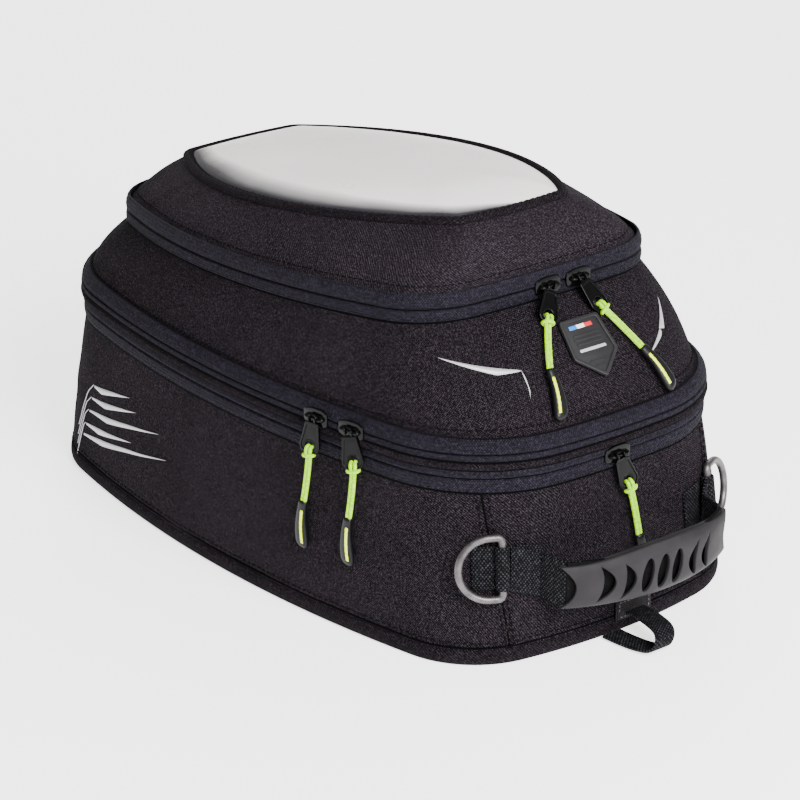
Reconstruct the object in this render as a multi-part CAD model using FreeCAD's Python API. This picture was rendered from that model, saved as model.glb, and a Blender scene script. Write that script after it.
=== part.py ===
import FreeCAD, Part
import math
import os

# Expandable tank bag, in millimetres. The bag stands on z = 0, +X points to the handle end,
# -Y is the long side that carries the main sliders, and +Z is up.

V = FreeCAD.Vector

# ---------------------------------------------------------------- driving dimensions
# An outline is seen from above and is mirrored about the X axis. Each side, end and corner is one arc.
# half: half width at the widest place; apex: x of that place; side_r: radius of the long side;
# front / rear: x of each end; front_r / rear_r: radius of each end; front_c / rear_c: corner radii.
BASE_PLAN = dict(half=128.0, apex=-42.0, side_r=745.0, front=195.0, front_r=330.0, front_c=54.0,
                 rear=-195.0, rear_r=650.0, rear_c=54.0)
RIM_PLAN = dict(half=124.0, apex=-36.0, side_r=660.0, front=190.0, front_r=480.0, front_c=75.0,
                rear=-194.0, rear_r=650.0, rear_c=75.0)
TOP_PLAN = dict(half=101.0, apex=-16.0, side_r=430.0, front=134.0, front_r=650.0, front_c=42.0,
                rear=-172.0, rear_r=650.0, rear_c=42.0)
WINDOW_PLAN = dict(half=74.0, apex=-25.0, side_r=233.0, front=106.0, front_r=200.0, front_c=9.0,
                   rear=-153.0, rear_r=250.0, rear_c=9.0)
# the flat crown that the window's film rises to
CROWN_PLAN = dict(half=26.0, apex=-25.0, side_r=233.0, front=50.0, front_r=200.0, front_c=9.0,
                  rear=-100.0, rear_r=250.0, rear_c=9.0)

TOP_TILT = math.radians(5.0)        # the upper zip rises towards the handle end
WINDOW_TILT = math.radians(7.4)     # and the map window rises a little more

FABRIC = 3.0                        # padded outer wall: cloth and foam
LINING = 0.8
GAP = 0.3                           # clearance between bodies that move
TAPE = 1.2                          # zip tape
COIL_DEPTH = 1.8
COIL_HEIGHT = 1.7

PANEL_TOP = 2.6                     # non-slip underside sheet
PIPING_R = 3.0                      # bottom edge piping
BOARD_BOTTOM, BOARD_TOP = 2.8, 5.2
TUB_BOTTOM = 6.2
TUB_TOP = 95.0
TUB_TOP_INSET = 3.7
LINING_DROP = 3.0                   # the tub's lining ends this far below its top edge
TAPE_SEAM = 92.6                    # lower stitched edge of the expansion tape
EXPANSION_LINE = 100.5
EXPANSION_INSET = 2.0               # of the expansion zip, inside the rim's plan
BEAD_R = 2.2                        # rim piping
BEAD_Z = 107.6
SEAM_GAP = 0.1                      # between the rim piping and what is sewn beside it
MAIN_LINE = 114.0
MAIN_INSET = 1.0
MAIN_LEAN = 0.6                     # the tape's lower edge is tucked in this much
MAIN_TAPE_TOP = 121.0
MAIN_TAPE_TUCK = 4.0
GUSSET_BOTTOM = 44.0
GUSSET_INSET = 8.6
GUSSET = 1.0
GUSSET_EDGE = 2.0                   # height of the seam allowance at the gusset's top
MAIN_HINGE_HALF, UPPER_HINGE_HALF = 70.0, 50.0
LID_BOTTOM = 118.6
LID_LOW_INSET, LID_HIGH_INSET = 6.6, 1.8
LID_TOP = 158.4                     # at x = 0, in the tilted plane of the upper zip
LID_BULGE = 3.4                     # the middle of the lid's wall stands out this much
UPPER_TAPE_BOTTOM = 158.0
UPPER_LINE = 164.5
UPPER_TAPE_TOP = 173.0
UPPER_TAPE_TUCK = 1.0
DIVIDER_INSET, DIVIDER_DROP, DIVIDER = 8.0, 4.0, 1.5
COVER_BOTTOM = 170.0
COVER_INSET = 2.6
COVER_BULGE = 2.0
WINDOW_Z = 195.0
BINDING_GROWTH, BINDING_RISE = 1.0, 1.6
WINDOW_DOME = 6.0
FILM = 0.8
FILM_INSET, FILM_SHOULDER = 3.4, 7.5
POCKET_INSET, POCKET_DROP, POCKET_BACK = 4.4, 4.5, 1.2

STRAP_WIDTH = 25.0
STRAP = 2.0
HANDLE_Z = 48.5
GRIP_END_X, GRIP_HALF, GRIP_SAG = 208.0, 53.0, 14.5
GRIP_SHIFT = 4.0                    # the grip sits this far off centre on its webbing
GRIP_THICK, GRIP_HEIGHT = 9.0, 28.0

RING_WIRE = 2.0                     # radius of the D-ring's wire
RING_BAR, RING_DEPTH = 16.5, 23.0   # half length of the bar, and depth of the bow
RING_Z = 54.0
RING_ANGLE = math.radians(-27.5)    # direction of the corner's normal at the near ring
RING_STANDOFF = 4.6
KEEPER = 1.8                        # the ring keeper's webbing
KEEPER_FOLD = 1.4                   # and its thickness where it goes round the bar
KEEPER_WIDTH = 23.0
KEEPER_END_Y = -48.0                # the tail of the near keeper ends here

PULLER_LENGTH = 20.0
CORD_RUN = 15.5                     # half of a pull cord
POD_LENGTH = 27.0
POD_HALF_WIDTH, POD_HALF_THICK, POD_CORNER = 3.9, 2.1, 3.4
CORD_R = 1.2                        # each of the two strands of a pull cord
STRAND_STEP = 2.5
HOLE_FROM_END, HOLE_R = 3.6, 2.2    # the puller's hole
CORD_FROM_END = 2.2                 # the cord starts at the outer edge of the hole
TAB_HALF, NECK_HALF, TAB_HALF_THICK = 4.2, 2.4, 0.7
BRIDGE_N = 3.3                      # height of the slider's bridge, which the puller turns on
BRIDGE_R = 0.8
EYE_R = 1.7
MAIN_LEFT_X, MAIN_RIGHT_X = 83.5, 107.4
UPPER_LEFT_Y, UPPER_RIGHT_Y = -2.3, 18.1
EXPANSION_SLIDER_Y = 0.5

BADGE_SHARE, BADGE_Y, BADGE_STANDOFF, BADGE = 0.56, 6.2, 1.0, 1.8
BADGE_TOP, BADGE_TOP_HALF = 15.5, 12.6
BADGE_SHOULDER, BADGE_HALF = -6.5, 14.6
BADGE_POINT = -19.5

LOOP, LOOP_WIDTH, LOOP_Y = 1.6, 18.0, 1.0
LOOP_END_X, LOOP_RISE = 229.0, 12.0
TAB_WIDTH, TAB_HEIGHT, TAB_THICK, TAB_Y, TAB_BOTTOM = 24.0, 12.0, 1.6, 9.0, 7.5


# ---------------------------------------------------------------- outlines
def circles_meet(a, ra, b, rb):
    """The lower of the two points at distance ra from a and rb from b, in plan."""
    gap = b - a
    distance = gap.Length
    along = (ra * ra - rb * rb + distance * distance) / (2 * distance)
    height = math.sqrt(ra * ra - along * along)
    foot = a + gap * (along / distance)
    normal = V(-gap.y, gap.x, 0) * (height / distance)
    return min((foot + normal, foot - normal), key=lambda point: point.y)


class Outline:
    """A closed plan of eight tangent arcs."""

    def __init__(self, **sizes):
        self.sizes = sizes
        self.side_centre = V(sizes["apex"], sizes["side_r"] - sizes["half"], 0)

    def grown(self, offset):
        sizes = dict(self.sizes)
        for key in ("half", "side_r", "front", "front_r", "front_c", "rear_r", "rear_c"):
            sizes[key] += offset
        sizes["rear"] -= offset
        return Outline(**sizes)

    def mixed(self, other, share):
        return Outline(**{key: value + (other.sizes[key] - value) * share
                          for key, value in self.sizes.items()})

    def half_points(self):
        """Corner points and arc middles of the near half, from the rear end to the front end."""
        s = self.sizes
        points = []
        for end in ("rear", "front"):
            sign = 1 if end == "front" else -1
            radius, corner = s[end + "_r"], s[end + "_c"]
            centre = V(s[end] - sign * radius, 0, 0)
            knee = circles_meet(self.side_centre, s["side_r"] - corner, centre, radius - corner)
            on_side = self.side_centre + (knee - self.side_centre) * (s["side_r"] / (s["side_r"] - corner))
            on_end = centre + (knee - centre) * (radius / (radius - corner))
            outward = ((on_side - knee) + (on_end - knee)).normalize()
            trio = [on_end, knee + outward * corner, on_side]
            points += trio if end == "rear" else trio[::-1]
        return points

    def wire(self, z, tilt=0.0):
        def place(point):
            return V(point.x * math.cos(tilt), point.y, z + point.x * math.sin(tilt))

        near = self.half_points()
        far = [V(point.x, -point.y, 0) for point in near[::-1]]
        s = self.sizes
        stops = near[:3] + [V(s["apex"], -s["half"], 0)] + near[3:] + [V(s["front"], 0, 0)]
        stops += far[:3] + [V(s["apex"], s["half"], 0)] + far[3:] + [V(s["rear"], 0, 0)]
        edges = []
        for first in range(0, len(stops), 2):
            arc = [place(stops[first]), place(stops[first + 1]), place(stops[(first + 2) % len(stops)])]
            edges.append(Part.Arc(*arc).toShape())
        return Part.Wire(edges)

    def front_x(self, y):
        return self.sizes["front"] - self.sizes["front_r"] + math.sqrt(self.sizes["front_r"] ** 2 - y * y)

    def side_y(self, x):
        return self.side_centre.y - math.sqrt(self.sizes["side_r"] ** 2 - (x - self.sizes["apex"]) ** 2)


BASE = Outline(**BASE_PLAN)
RIM = Outline(**RIM_PLAN)
TOP = Outline(**TOP_PLAN)
WINDOW = Outline(**WINDOW_PLAN)


# ---------------------------------------------------------------- solids made from outlines
def filled(levels, ruled=False):
    """A closed solid through levels of (outline, z, tilt)."""
    return Part.makeLoft([outline.wire(z, tilt) for outline, z, tilt in levels], True, ruled)


def wall(levels, thickness, ruled=False):
    """A ring-shaped wall whose outer face passes through the levels."""
    inner = [(outline.grown(-thickness), z, tilt) for outline, z, tilt in levels]
    return filled(levels, ruled).cut(filled(inner, ruled))


def bead(outline, z, radius, tilt=0.0):
    """Round piping along an outline, whose outermost line is the outline itself."""
    path = outline.grown(-radius).wire(z, tilt)
    start = path.Edges[0].valueAt(path.Edges[0].FirstParameter)
    along = path.Edges[0].tangentAt(path.Edges[0].FirstParameter)
    section = Part.Wire(Part.makeCircle(radius, start, along))
    return path.makePipeShell([section], True, True)


def plate(outline, bottom, top, tilt=0.0):
    lift = V(-math.sin(tilt), 0, math.cos(tilt)) * (top - bottom)
    return Part.Face(outline.wire(bottom, tilt)).extrude(lift)


def zip_half(outline, line, edge, tilt=0.0, edge_inset=0.0):
    """One side of a zip: a tape between its stitched edge and the zip's line, and its coil behind it."""
    side = 1 if line > edge else -1
    tape_end = line - side * GAP
    tape = [(outline.grown(-edge_inset), edge, tilt), (outline, tape_end, tilt)]
    behind = outline.grown(-TAPE - GAP)
    coil = [(behind, tape_end - side * COIL_HEIGHT, tilt), (behind, tape_end, tilt)]
    return Part.makeCompound([wall(tape[::side], TAPE, True), wall(coil[::side], COIL_DEPTH, True)])


def strip(outline, low, high, half_width, thickness, tilt=0.0):
    """A cloth strip on the outside of the rear end, across a zip."""
    outside = outline.grown(thickness)
    ring = wall([(outside, low, tilt), (outside, high, tilt)], thickness, True)
    reach = 40.0
    keep = Part.makeBox(reach, 2 * half_width, high - low + reach,
                        V(outline.sizes["rear"] - reach / 2, -half_width, low - reach))
    return ring.common(keep)


# ---------------------------------------------------------------- base
def tub_outline(z):
    """Outer outline of the tub's wall at height z."""
    return BASE.grown(-1.0).mixed(RIM.grown(-TUB_TOP_INSET), (z - TUB_BOTTOM) / (TUB_TOP - TUB_BOTTOM))


def base_parts():
    low = tub_outline(TUB_BOTTOM)
    high = tub_outline(TUB_TOP)
    lining_top = TUB_TOP - LINING_DROP
    outside = -FABRIC - GAP
    inside = outside - LINING
    lining_levels = [(low.grown(outside), TUB_BOTTOM, 0), (high.grown(outside), lining_top, 0)]
    floor_levels = [(low.grown(inside), TUB_BOTTOM + LINING, 0), (high.grown(inside), lining_top, 0)]
    return {
        "base_panel": plate(BASE.grown(-2 * PIPING_R - GAP), 0, PANEL_TOP),
        "base_piping": bead(BASE, PIPING_R, PIPING_R),
        "base_board": plate(BASE.grown(-2 * PIPING_R - GAP), BOARD_BOTTOM, BOARD_TOP),
        "tub_shell": wall([(low, TUB_BOTTOM, 0), (high, TUB_TOP, 0)], FABRIC, True),
        "tub_lining": filled(lining_levels, True).cut(filled(floor_levels, True)),
        "expansion_zip_lower": zip_half(RIM.grown(-EXPANSION_INSET), EXPANSION_LINE, TAPE_SEAM),
    }


# ---------------------------------------------------------------- rim, lid and top cover
def rim_parts():
    under_bead = BEAD_Z - BEAD_R - SEAM_GAP
    over_bead = BEAD_Z + BEAD_R + SEAM_GAP
    inner = RIM.grown(-GUSSET_INSET)
    outer = RIM.grown(-TUB_TOP_INSET)
    skirt = wall([(inner, GUSSET_BOTTOM, 0), (inner, under_bead, 0)], GUSSET, True)
    edge_depth = GUSSET_INSET - TUB_TOP_INSET + GUSSET / 2
    edge = wall([(outer, under_bead - GUSSET_EDGE, 0), (outer, under_bead, 0)], edge_depth, True)
    return {
        "expansion_zip_upper": zip_half(RIM.grown(-EXPANSION_INSET), EXPANSION_LINE, under_bead),
        "expansion_gusset": skirt.fuse(edge).removeSplitter(),
        "rim_piping": bead(RIM, BEAD_Z, BEAD_R),
        "main_zip_lower": zip_half(RIM.grown(-MAIN_INSET), MAIN_LINE, over_bead, edge_inset=MAIN_LEAN),
        "main_hinge_strip": strip(RIM.grown(GAP - MAIN_INSET), over_bead + SEAM_GAP, MAIN_LINE - GAP,
                                  MAIN_HINGE_HALF, LINING),
    }


def lid_level(share):
    """Level of the lid's wall, from 0 at the main zip to 1 at the upper zip."""
    low = RIM.grown(-LID_LOW_INSET)
    high = TOP.grown(-LID_HIGH_INSET)
    bulge = LID_BULGE * math.sin(math.pi * share)
    z = LID_BOTTOM + (LID_TOP - LID_BOTTOM) * share
    return low.mixed(high, share).grown(bulge), z, TOP_TILT * share


def lid_front(share, y, standoff=0.0):
    """A point on the lid's sloping front, moved out along the surface's normal, and that normal."""
    def on_face(s):
        outline, z, tilt = lid_level(s)
        x = outline.front_x(y)
        return V(x * math.cos(tilt), y, z + x * math.sin(tilt))

    step = 0.01
    up_slope = on_face(share + step) - on_face(share - step)
    normal = V(0, 1, 0).cross(up_slope).normalize()
    return on_face(share) + normal * standoff, normal


def lid_parts():
    levels = [lid_level(i / 4) for i in range(5)]
    lining = [(outline.grown(-FABRIC - GAP), z, tilt) for outline, z, tilt in levels[:4]]
    floor = TOP.grown(-DIVIDER_INSET)
    floor_z = LID_TOP - DIVIDER_DROP
    return {
        "main_zip_upper": zip_half(RIM.grown(-MAIN_INSET), MAIN_LINE, MAIN_TAPE_TOP,
                                   edge_inset=MAIN_TAPE_TUCK),
        "lid_shell": wall(levels, FABRIC),
        "lid_lining": wall(lining, LINING),
        "divider_panel": plate(floor, floor_z, floor_z + DIVIDER, TOP_TILT),
        "upper_zip_lower": zip_half(TOP, UPPER_LINE, UPPER_TAPE_BOTTOM, TOP_TILT),
        "upper_hinge_strip": strip(TOP.grown(GAP), UPPER_TAPE_BOTTOM, UPPER_LINE - GAP, UPPER_HINGE_HALF,
                                   LINING, TOP_TILT),
        "badge": badge(),
    }


def badge():
    """Shield-shaped rubber patch on the lid's front."""
    centre, normal = lid_front(BADGE_SHARE, BADGE_Y, BADGE_STANDOFF)
    across = V(0, 1, 0)
    up = normal.cross(across)
    corners = [(-BADGE_TOP_HALF, BADGE_TOP), (BADGE_TOP_HALF, BADGE_TOP), (BADGE_HALF, BADGE_SHOULDER),
               (0, BADGE_POINT), (-BADGE_HALF, BADGE_SHOULDER)]
    path = Part.makePolygon([centre + across * a + up * b for a, b in corners + corners[:1]])
    return Part.Face(path).extrude(normal * BADGE)


def cover_level(share):
    """Level of the top cover, from 0 at the upper zip to 1 at the window."""
    low = TOP.grown(-COVER_INSET)
    bulge = COVER_BULGE * math.sin(math.pi * share)
    tilt = TOP_TILT + (WINDOW_TILT - TOP_TILT) * share
    return low.mixed(WINDOW, share).grown(bulge), COVER_BOTTOM + (WINDOW_Z - COVER_BOTTOM) * share, tilt


def window_film():
    """The clear film, which stands up in a low dome inside its binding."""
    edge = WINDOW.grown(-FILM_INSET)
    shoulder = WINDOW.grown(-FILM_SHOULDER)
    crown = shoulder.mixed(Outline(**CROWN_PLAN), 0.6)
    rises = [(edge, 0.0), (shoulder, 0.45), (crown, 1.0)]
    outer = filled([(outline, WINDOW_Z + WINDOW_DOME * rise, WINDOW_TILT) for outline, rise in rises], True)
    inner = filled([(outline.grown(-FILM), WINDOW_Z - FILM + WINDOW_DOME * rise, WINDOW_TILT)
                    for outline, rise in rises], True)
    return outer.cut(inner)


def cover_parts():
    levels = [cover_level(i / 3) for i in range(4)]
    below_binding = [cover_level(i * 0.3) for i in range(4)]
    lining = [(outline.grown(-FABRIC - GAP), z, tilt) for outline, z, tilt in below_binding]
    pocket_z = WINDOW_Z - POCKET_DROP
    return {
        "upper_zip_upper": zip_half(TOP, UPPER_LINE, UPPER_TAPE_TOP, TOP_TILT, edge_inset=UPPER_TAPE_TUCK),
        "top_shell": wall(levels, FABRIC),
        "top_lining": wall(lining, LINING),
        "window_binding": bead(WINDOW.grown(BINDING_GROWTH), WINDOW_Z + BINDING_RISE, BEAD_R, WINDOW_TILT),
        "map_window": window_film(),
        "map_pocket_back": plate(WINDOW.grown(-POCKET_INSET), pocket_z, pocket_z + POCKET_BACK, WINDOW_TILT),
    }


# ---------------------------------------------------------------- handle, rings and loop
def mirrored(shape):
    return shape.mirror(V(0, 0, 0), V(0, 1, 0))


def corner_point(z):
    """The tub's wall at height z, where its corner faces RING_ANGLE."""
    outline = tub_outline(z)
    s = outline.sizes
    knee = circles_meet(outline.side_centre, s["side_r"] - s["front_c"], V(s["front"] - s["front_r"], 0, 0),
                        s["front_r"] - s["front_c"])
    return knee + V(math.cos(RING_ANGLE), math.sin(RING_ANGLE), 0) * s["front_c"] + V(0, 0, z)


def ring_frame():
    """Bar centre of the near D-ring, the directions of its bow and its bar, and the outward normal."""
    bow = V(math.sin(RING_ANGLE), -math.cos(RING_ANGLE), 0)
    rise = corner_point(RING_Z + RING_BAR) - corner_point(RING_Z - RING_BAR)
    upright = (rise - bow * rise.dot(bow)).normalize()
    normal = upright.cross(bow).normalize()
    if normal.x < 0:
        normal = normal * -1
    return corner_point(RING_Z) + normal * RING_STANDOFF, bow, upright, normal


def d_ring():
    bar, bow, upright, normal = ring_frame()

    def at(depth, height):
        return bar + bow * depth + upright * height

    knee = 3.0
    straight = RING_DEPTH - RING_BAR
    bend = knee * (1 - math.sqrt(0.5))
    edges = [
        Part.makeLine(at(0, knee - RING_BAR), at(0, RING_BAR - knee)),
        Part.Arc(at(0, RING_BAR - knee), at(bend, RING_BAR - bend), at(knee, RING_BAR)).toShape(),
        Part.makeLine(at(knee, RING_BAR), at(straight, RING_BAR)),
        Part.Arc(at(straight, RING_BAR), at(RING_DEPTH, 0), at(straight, -RING_BAR)).toShape(),
        Part.makeLine(at(straight, -RING_BAR), at(knee, -RING_BAR)),
        Part.Arc(at(knee, -RING_BAR), at(bend, bend - RING_BAR), at(0, knee - RING_BAR)).toShape(),
    ]
    section = Part.Wire(Part.makeCircle(RING_WIRE, at(0, knee - RING_BAR), upright))
    return Part.Wire(edges).makePipeShell([section], True, True)


def tub_patch(middle, inner, outer, height, low_y, high_y):
    """A patch of webbing that follows the tub's front wall, between two offsets and two y values.

    middle is the height of its middle line, and height its width up the wall."""
    bottom, top = middle - height / 2, middle + height / 2
    levels = [(tub_outline(bottom).grown(outer), bottom, 0), (tub_outline(top).grown(outer), top, 0)]
    reach = 60.0
    keep = Part.makeBox(reach, high_y - low_y, height, V(BASE.sizes["front"] - reach + 10, low_y, bottom))
    return wall(levels, outer - inner, True).common(keep)


def ring_keeper():
    """Webbing folded round the D-ring's bar, with its tail sewn flat to the tub."""
    bar, bow, upright, normal = ring_frame()
    foot = bar - upright * (KEEPER_WIDTH / 2)
    inner = RING_WIRE + GAP
    tube = Part.makeCylinder(inner + KEEPER_FOLD, KEEPER_WIDTH, foot, upright)
    tail = tub_patch(RING_Z, GAP, GAP + KEEPER, KEEPER_WIDTH, bar.y + 1.0, KEEPER_END_Y)
    return tube.fuse(tail).cut(Part.makeCylinder(inner, KEEPER_WIDTH + 4, foot - upright * 2, upright))


def grip_arc(extra, half):
    """Arc of the grip in plan, moved outward by extra, and half as long as half on each side."""
    radius = (GRIP_HALF ** 2 + GRIP_SAG ** 2) / (2 * GRIP_SAG)
    centre_x = GRIP_END_X + GRIP_SAG - radius
    r = radius + extra

    def at(y):
        return V(centre_x + math.sqrt(r * r - y * y), y + GRIP_SHIFT, 0)

    return at(-half), at(0), at(half)


def curved_band(inner, outer, half, height):
    """A solid between two parallel arcs of the grip's plan."""
    a, b = grip_arc(inner, half), grip_arc(outer, half)
    edges = [Part.Arc(*a).toShape(), Part.makeLine(a[2], b[2]), Part.Arc(*b[::-1]).toShape(),
             Part.makeLine(b[0], a[0])]
    solid = Part.Face(Part.Wire(edges)).extrude(V(0, 0, height))
    solid.translate(V(0, 0, HANDLE_Z - height / 2))
    return solid


def grip():
    body = curved_band(-GRIP_THICK / 2, GRIP_THICK / 2, GRIP_HALF, GRIP_HEIGHT)
    slot = curved_band(-STRAP / 2 - GAP, STRAP / 2 + GAP, GRIP_HALF + 5, STRAP_WIDTH + 2 * GAP)
    return body.cut(slot)


def handle_strap(mouth):
    """The near end of the handle's webbing: sewn over the keeper's tail, then out to the grip's mouth.

    mouth is the middle of the grip's mouth in plan."""
    bar = ring_frame()[0]
    end_y = mouth.y - 5.0
    over = GAP + KEEPER + 0.2
    patch = tub_patch(HANDLE_Z, over, over + STRAP, STRAP_WIDTH, bar.y + 6.5, end_y)
    leave = V(tub_outline(HANDLE_Z).grown(over + STRAP / 2).front_x(end_y), end_y - 1.0, 0)
    along = (mouth - leave).normalize()
    side = V(-along.y, along.x, 0) * (STRAP / 2)
    beyond = along * 6.0
    ring = [leave + side, mouth + beyond + side, mouth + beyond - side, leave - side]
    run = Part.Face(Part.makePolygon(ring + ring[:1])).extrude(V(0, 0, STRAP_WIDTH))
    run.translate(V(0, 0, HANDLE_Z - STRAP_WIDTH / 2))
    limit = mouth.y - 0.8
    reach = 60.0
    keep = Part.makeBox(2 * reach, reach, 2 * reach, V(leave.x - reach, limit - reach, HANDLE_Z - reach))
    return patch.fuse(run).common(keep)


def handle_straps():
    """Both ends of the webbing. The far one is made on the near side, and mirrored."""
    near_mouth, _, far_mouth = grip_arc(0, GRIP_HALF)
    return {
        "handle_strap_left": handle_strap(near_mouth),
        "handle_strap_right": mirrored(handle_strap(V(far_mouth.x, -far_mouth.y, 0))),
    }


def front_loop():
    """Webbing loop under the handle: out along the ground, round, and back to its tab."""
    root = BASE.sizes["front"] + 0.6
    radius = LOOP_RISE / 2
    middle = GAP + LOOP / 2 + radius
    turn = LOOP_END_X - LOOP / 2 - radius

    def profile(offset):
        r = radius + offset
        edges = [Part.makeLine(V(root, 0, middle - r), V(turn, 0, middle - r)),
                 Part.Arc(V(turn, 0, middle - r), V(turn + r, 0, middle), V(turn, 0, middle + r)).toShape(),
                 Part.makeLine(V(turn, 0, middle + r), V(root + 1.8, 0, middle + r))]
        return Part.Wire(edges)

    outer, inner = profile(LOOP / 2), profile(-LOOP / 2)
    ends = [Part.makeLine(outer.Edges[0].Vertexes[0].Point, inner.Edges[0].Vertexes[0].Point),
            Part.makeLine(outer.Edges[2].Vertexes[-1].Point, inner.Edges[2].Vertexes[-1].Point)]
    loop = Part.Face(Part.Wire(Part.__sortEdges__(outer.Edges + inner.Edges + ends)))
    solid = loop.extrude(V(0, LOOP_WIDTH, 0))
    solid.translate(V(0, LOOP_Y - LOOP_WIDTH / 2, 0))
    return solid


def hem_tab():
    """Small stitched patch that holds the upper end of the loop."""
    x = BASE.sizes["front"] + GAP
    return Part.makeBox(TAB_THICK, TAB_WIDTH, TAB_HEIGHT, V(x, TAB_Y - TAB_WIDTH / 2, TAB_BOTTOM))


# ---------------------------------------------------------------- sliders and pulls
class Frame:
    """Axes at a slider: t along the zip, u the way the pull hangs, n out of the bag."""

    def __init__(self, origin, out, down):
        self.origin = origin
        self.n = out.normalize()
        self.u = (down - self.n * down.dot(self.n)).normalize()
        self.t = self.u.cross(self.n)

    def at(self, t, u, n):
        return self.origin + self.t * t + self.u * u + self.n * n

    def block(self, t, u, n, corner=0.8):
        """A box given by its (low, high) along each axis, with its long edges rounded."""
        corners = [(t[0], u[0]), (t[1], u[0]), (t[1], u[1]), (t[0], u[1])]
        base = [self.at(along, across, n[0]) for along, across in corners]
        solid = Part.Face(Part.makePolygon(base + base[:1])).extrude(self.n * (n[1] - n[0]))
        upright = [edge for edge in solid.Edges
                   if abs(edge.tangentAt(edge.FirstParameter).dot(self.n)) > 0.99]
        return solid.makeFillet(corner, upright)


def slider(frame):
    plate_part = frame.block((-7, 7), (-4, 4), (GAP + 0.1, 1.3), 2.0)
    bar = Part.makeCylinder(BRIDGE_R, 10, frame.at(-5, 0, BRIDGE_N), frame.t)
    posts = [frame.block((low, low + 1.8), (-1.6, 1.6), (1.1, BRIDGE_N + BRIDGE_R), 0.5)
             for low in (-6.2, 4.4)]
    return plate_part.fuse([bar] + posts).removeSplitter()


def puller(frame, tab):
    """Eye round the bridge and a flat tab, which ends in a hole for the cord. tab is its direction."""
    pivot = frame.at(0, 0, BRIDGE_N)
    hang = Frame(pivot, frame.t.cross(tab), tab)
    eye = Part.makeCylinder(EYE_R, 6.4, frame.at(-3.2, 0, BRIDGE_N), frame.t)
    thick = (-TAB_HALF_THICK, TAB_HALF_THICK)
    neck = hang.block((-NECK_HALF, NECK_HALF), (1.2, 7.0), thick, 0.5)
    body = hang.block((-TAB_HALF, TAB_HALF), (5.5, PULLER_LENGTH), thick, 1.8)
    bore = Part.makeCylinder(BRIDGE_R + GAP, 10, frame.at(-5, 0, BRIDGE_N), frame.t)
    hole = Part.makeCylinder(HOLE_R, 4, hang.at(0, PULLER_LENGTH - HOLE_FROM_END, -2), hang.n)
    return eye.fuse([neck, body]).cut(bore).cut(hole)


def cord_path(points):
    """Straight runs joined by tangent arcs, each with 0.45 of its shorter run; prints the radii."""
    edges = []
    start = points[0]
    for before, here, after in zip(points, points[1:], points[2:]):
        back = before - here
        ahead = after - here
        reach = 0.45 * min(back.Length, ahead.Length)
        half_turn = (math.pi - back.getAngle(ahead)) / 2
        radius = reach / math.tan(half_turn)
        first = here + back.normalize() * reach
        last = here + ahead.normalize() * reach
        inward = (back + ahead).normalize()
        middle = here + inward * (radius / math.cos(half_turn) - radius)
        edges.append(Part.makeLine(start, first))
        edges.append(Part.Arc(first, middle, last).toShape())
        start = last
        print("cord radius %.1f mm" % radius)
    edges.append(Part.makeLine(start, points[-1]))
    return Part.Wire(edges)


def pull_cord(points, out):
    """Two strands side by side from the puller's hole to the pod."""
    along = (points[1] - points[0]).normalize()
    across = along.cross(out).normalize()
    strands = []
    for side in (-0.5, 0.5):
        path = cord_path([point + across * (side * STRAND_STEP) for point in points])
        section = Part.Wire(Part.makeCircle(CORD_R, points[0] + across * (side * STRAND_STEP), along))
        strands.append(path.makePipeShell([section], True, True))
    return Part.makeCompound(strands)


def pod(top, tip, out):
    """Rubber pod on the cord's end, rounded at its tip."""
    along = (tip - top).normalize()
    hang = Frame(top, out, along)
    return hang.block((-POD_HALF_WIDTH, POD_HALF_WIDTH), (0.1, POD_LENGTH),
                      (-POD_HALF_THICK, POD_HALF_THICK), POD_CORNER)


def pull_parts(name, frame, tab, points, tip, out):
    return {
        "slider_" + name: slider(frame),
        "puller_" + name: puller(frame, tab),
        "pull_cord_" + name: pull_cord(points, out),
        "pull_pod_" + name: pod(points[-1], tip, out),
    }


def straight_pull(name, frame, tilt, tab_lean, lean):
    """A pull that hangs almost straight: tilt turns it outward, and the leans turn it along the zip."""
    tab = (frame.u + frame.n * tilt + frame.t * math.tan(tab_lean)).normalize()
    hole = frame.at(0, 0, BRIDGE_N) + tab * (PULLER_LENGTH - CORD_FROM_END)
    drop = (frame.u + frame.n * tilt + frame.t * math.tan(lean)).normalize()
    side = frame.n.cross(drop).normalize()
    points = [hole + frame.n * 0.2, hole + drop * CORD_RUN + side * 0.9, hole + drop * 2 * CORD_RUN]
    return pull_parts(name, frame, tab, points, points[-1] + drop * POD_LENGTH, frame.n)


def side_frame(x):
    """Frame of a main-zip slider on the near side."""
    zip_line = RIM.grown(-MAIN_INSET)
    origin = V(x, zip_line.side_y(x), MAIN_LINE)
    return Frame(origin, V(origin.x, origin.y, 0) - zip_line.side_centre, V(0, 0, -1))


def upper_frame(y):
    """Frame of an upper-zip slider on the front."""
    x = TOP.front_x(y)
    lean = x - TOP.sizes["front"] + TOP.sizes["front_r"]
    origin = V(x * math.cos(TOP_TILT), y, UPPER_LINE + x * math.sin(TOP_TILT))
    out = V(lean * math.cos(TOP_TILT), y, lean * math.sin(TOP_TILT))
    return Frame(origin, out, V(math.sin(TOP_TILT), 0, -math.cos(TOP_TILT)))


def expansion_frame():
    zip_line = RIM.grown(-EXPANSION_INSET)
    x = zip_line.front_x(EXPANSION_SLIDER_Y)
    out = V(x - zip_line.sizes["front"] + zip_line.sizes["front_r"], EXPANSION_SLIDER_Y, 0)
    return Frame(V(x, EXPANSION_SLIDER_Y, EXPANSION_LINE), out, V(0, 0, -1))


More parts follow.
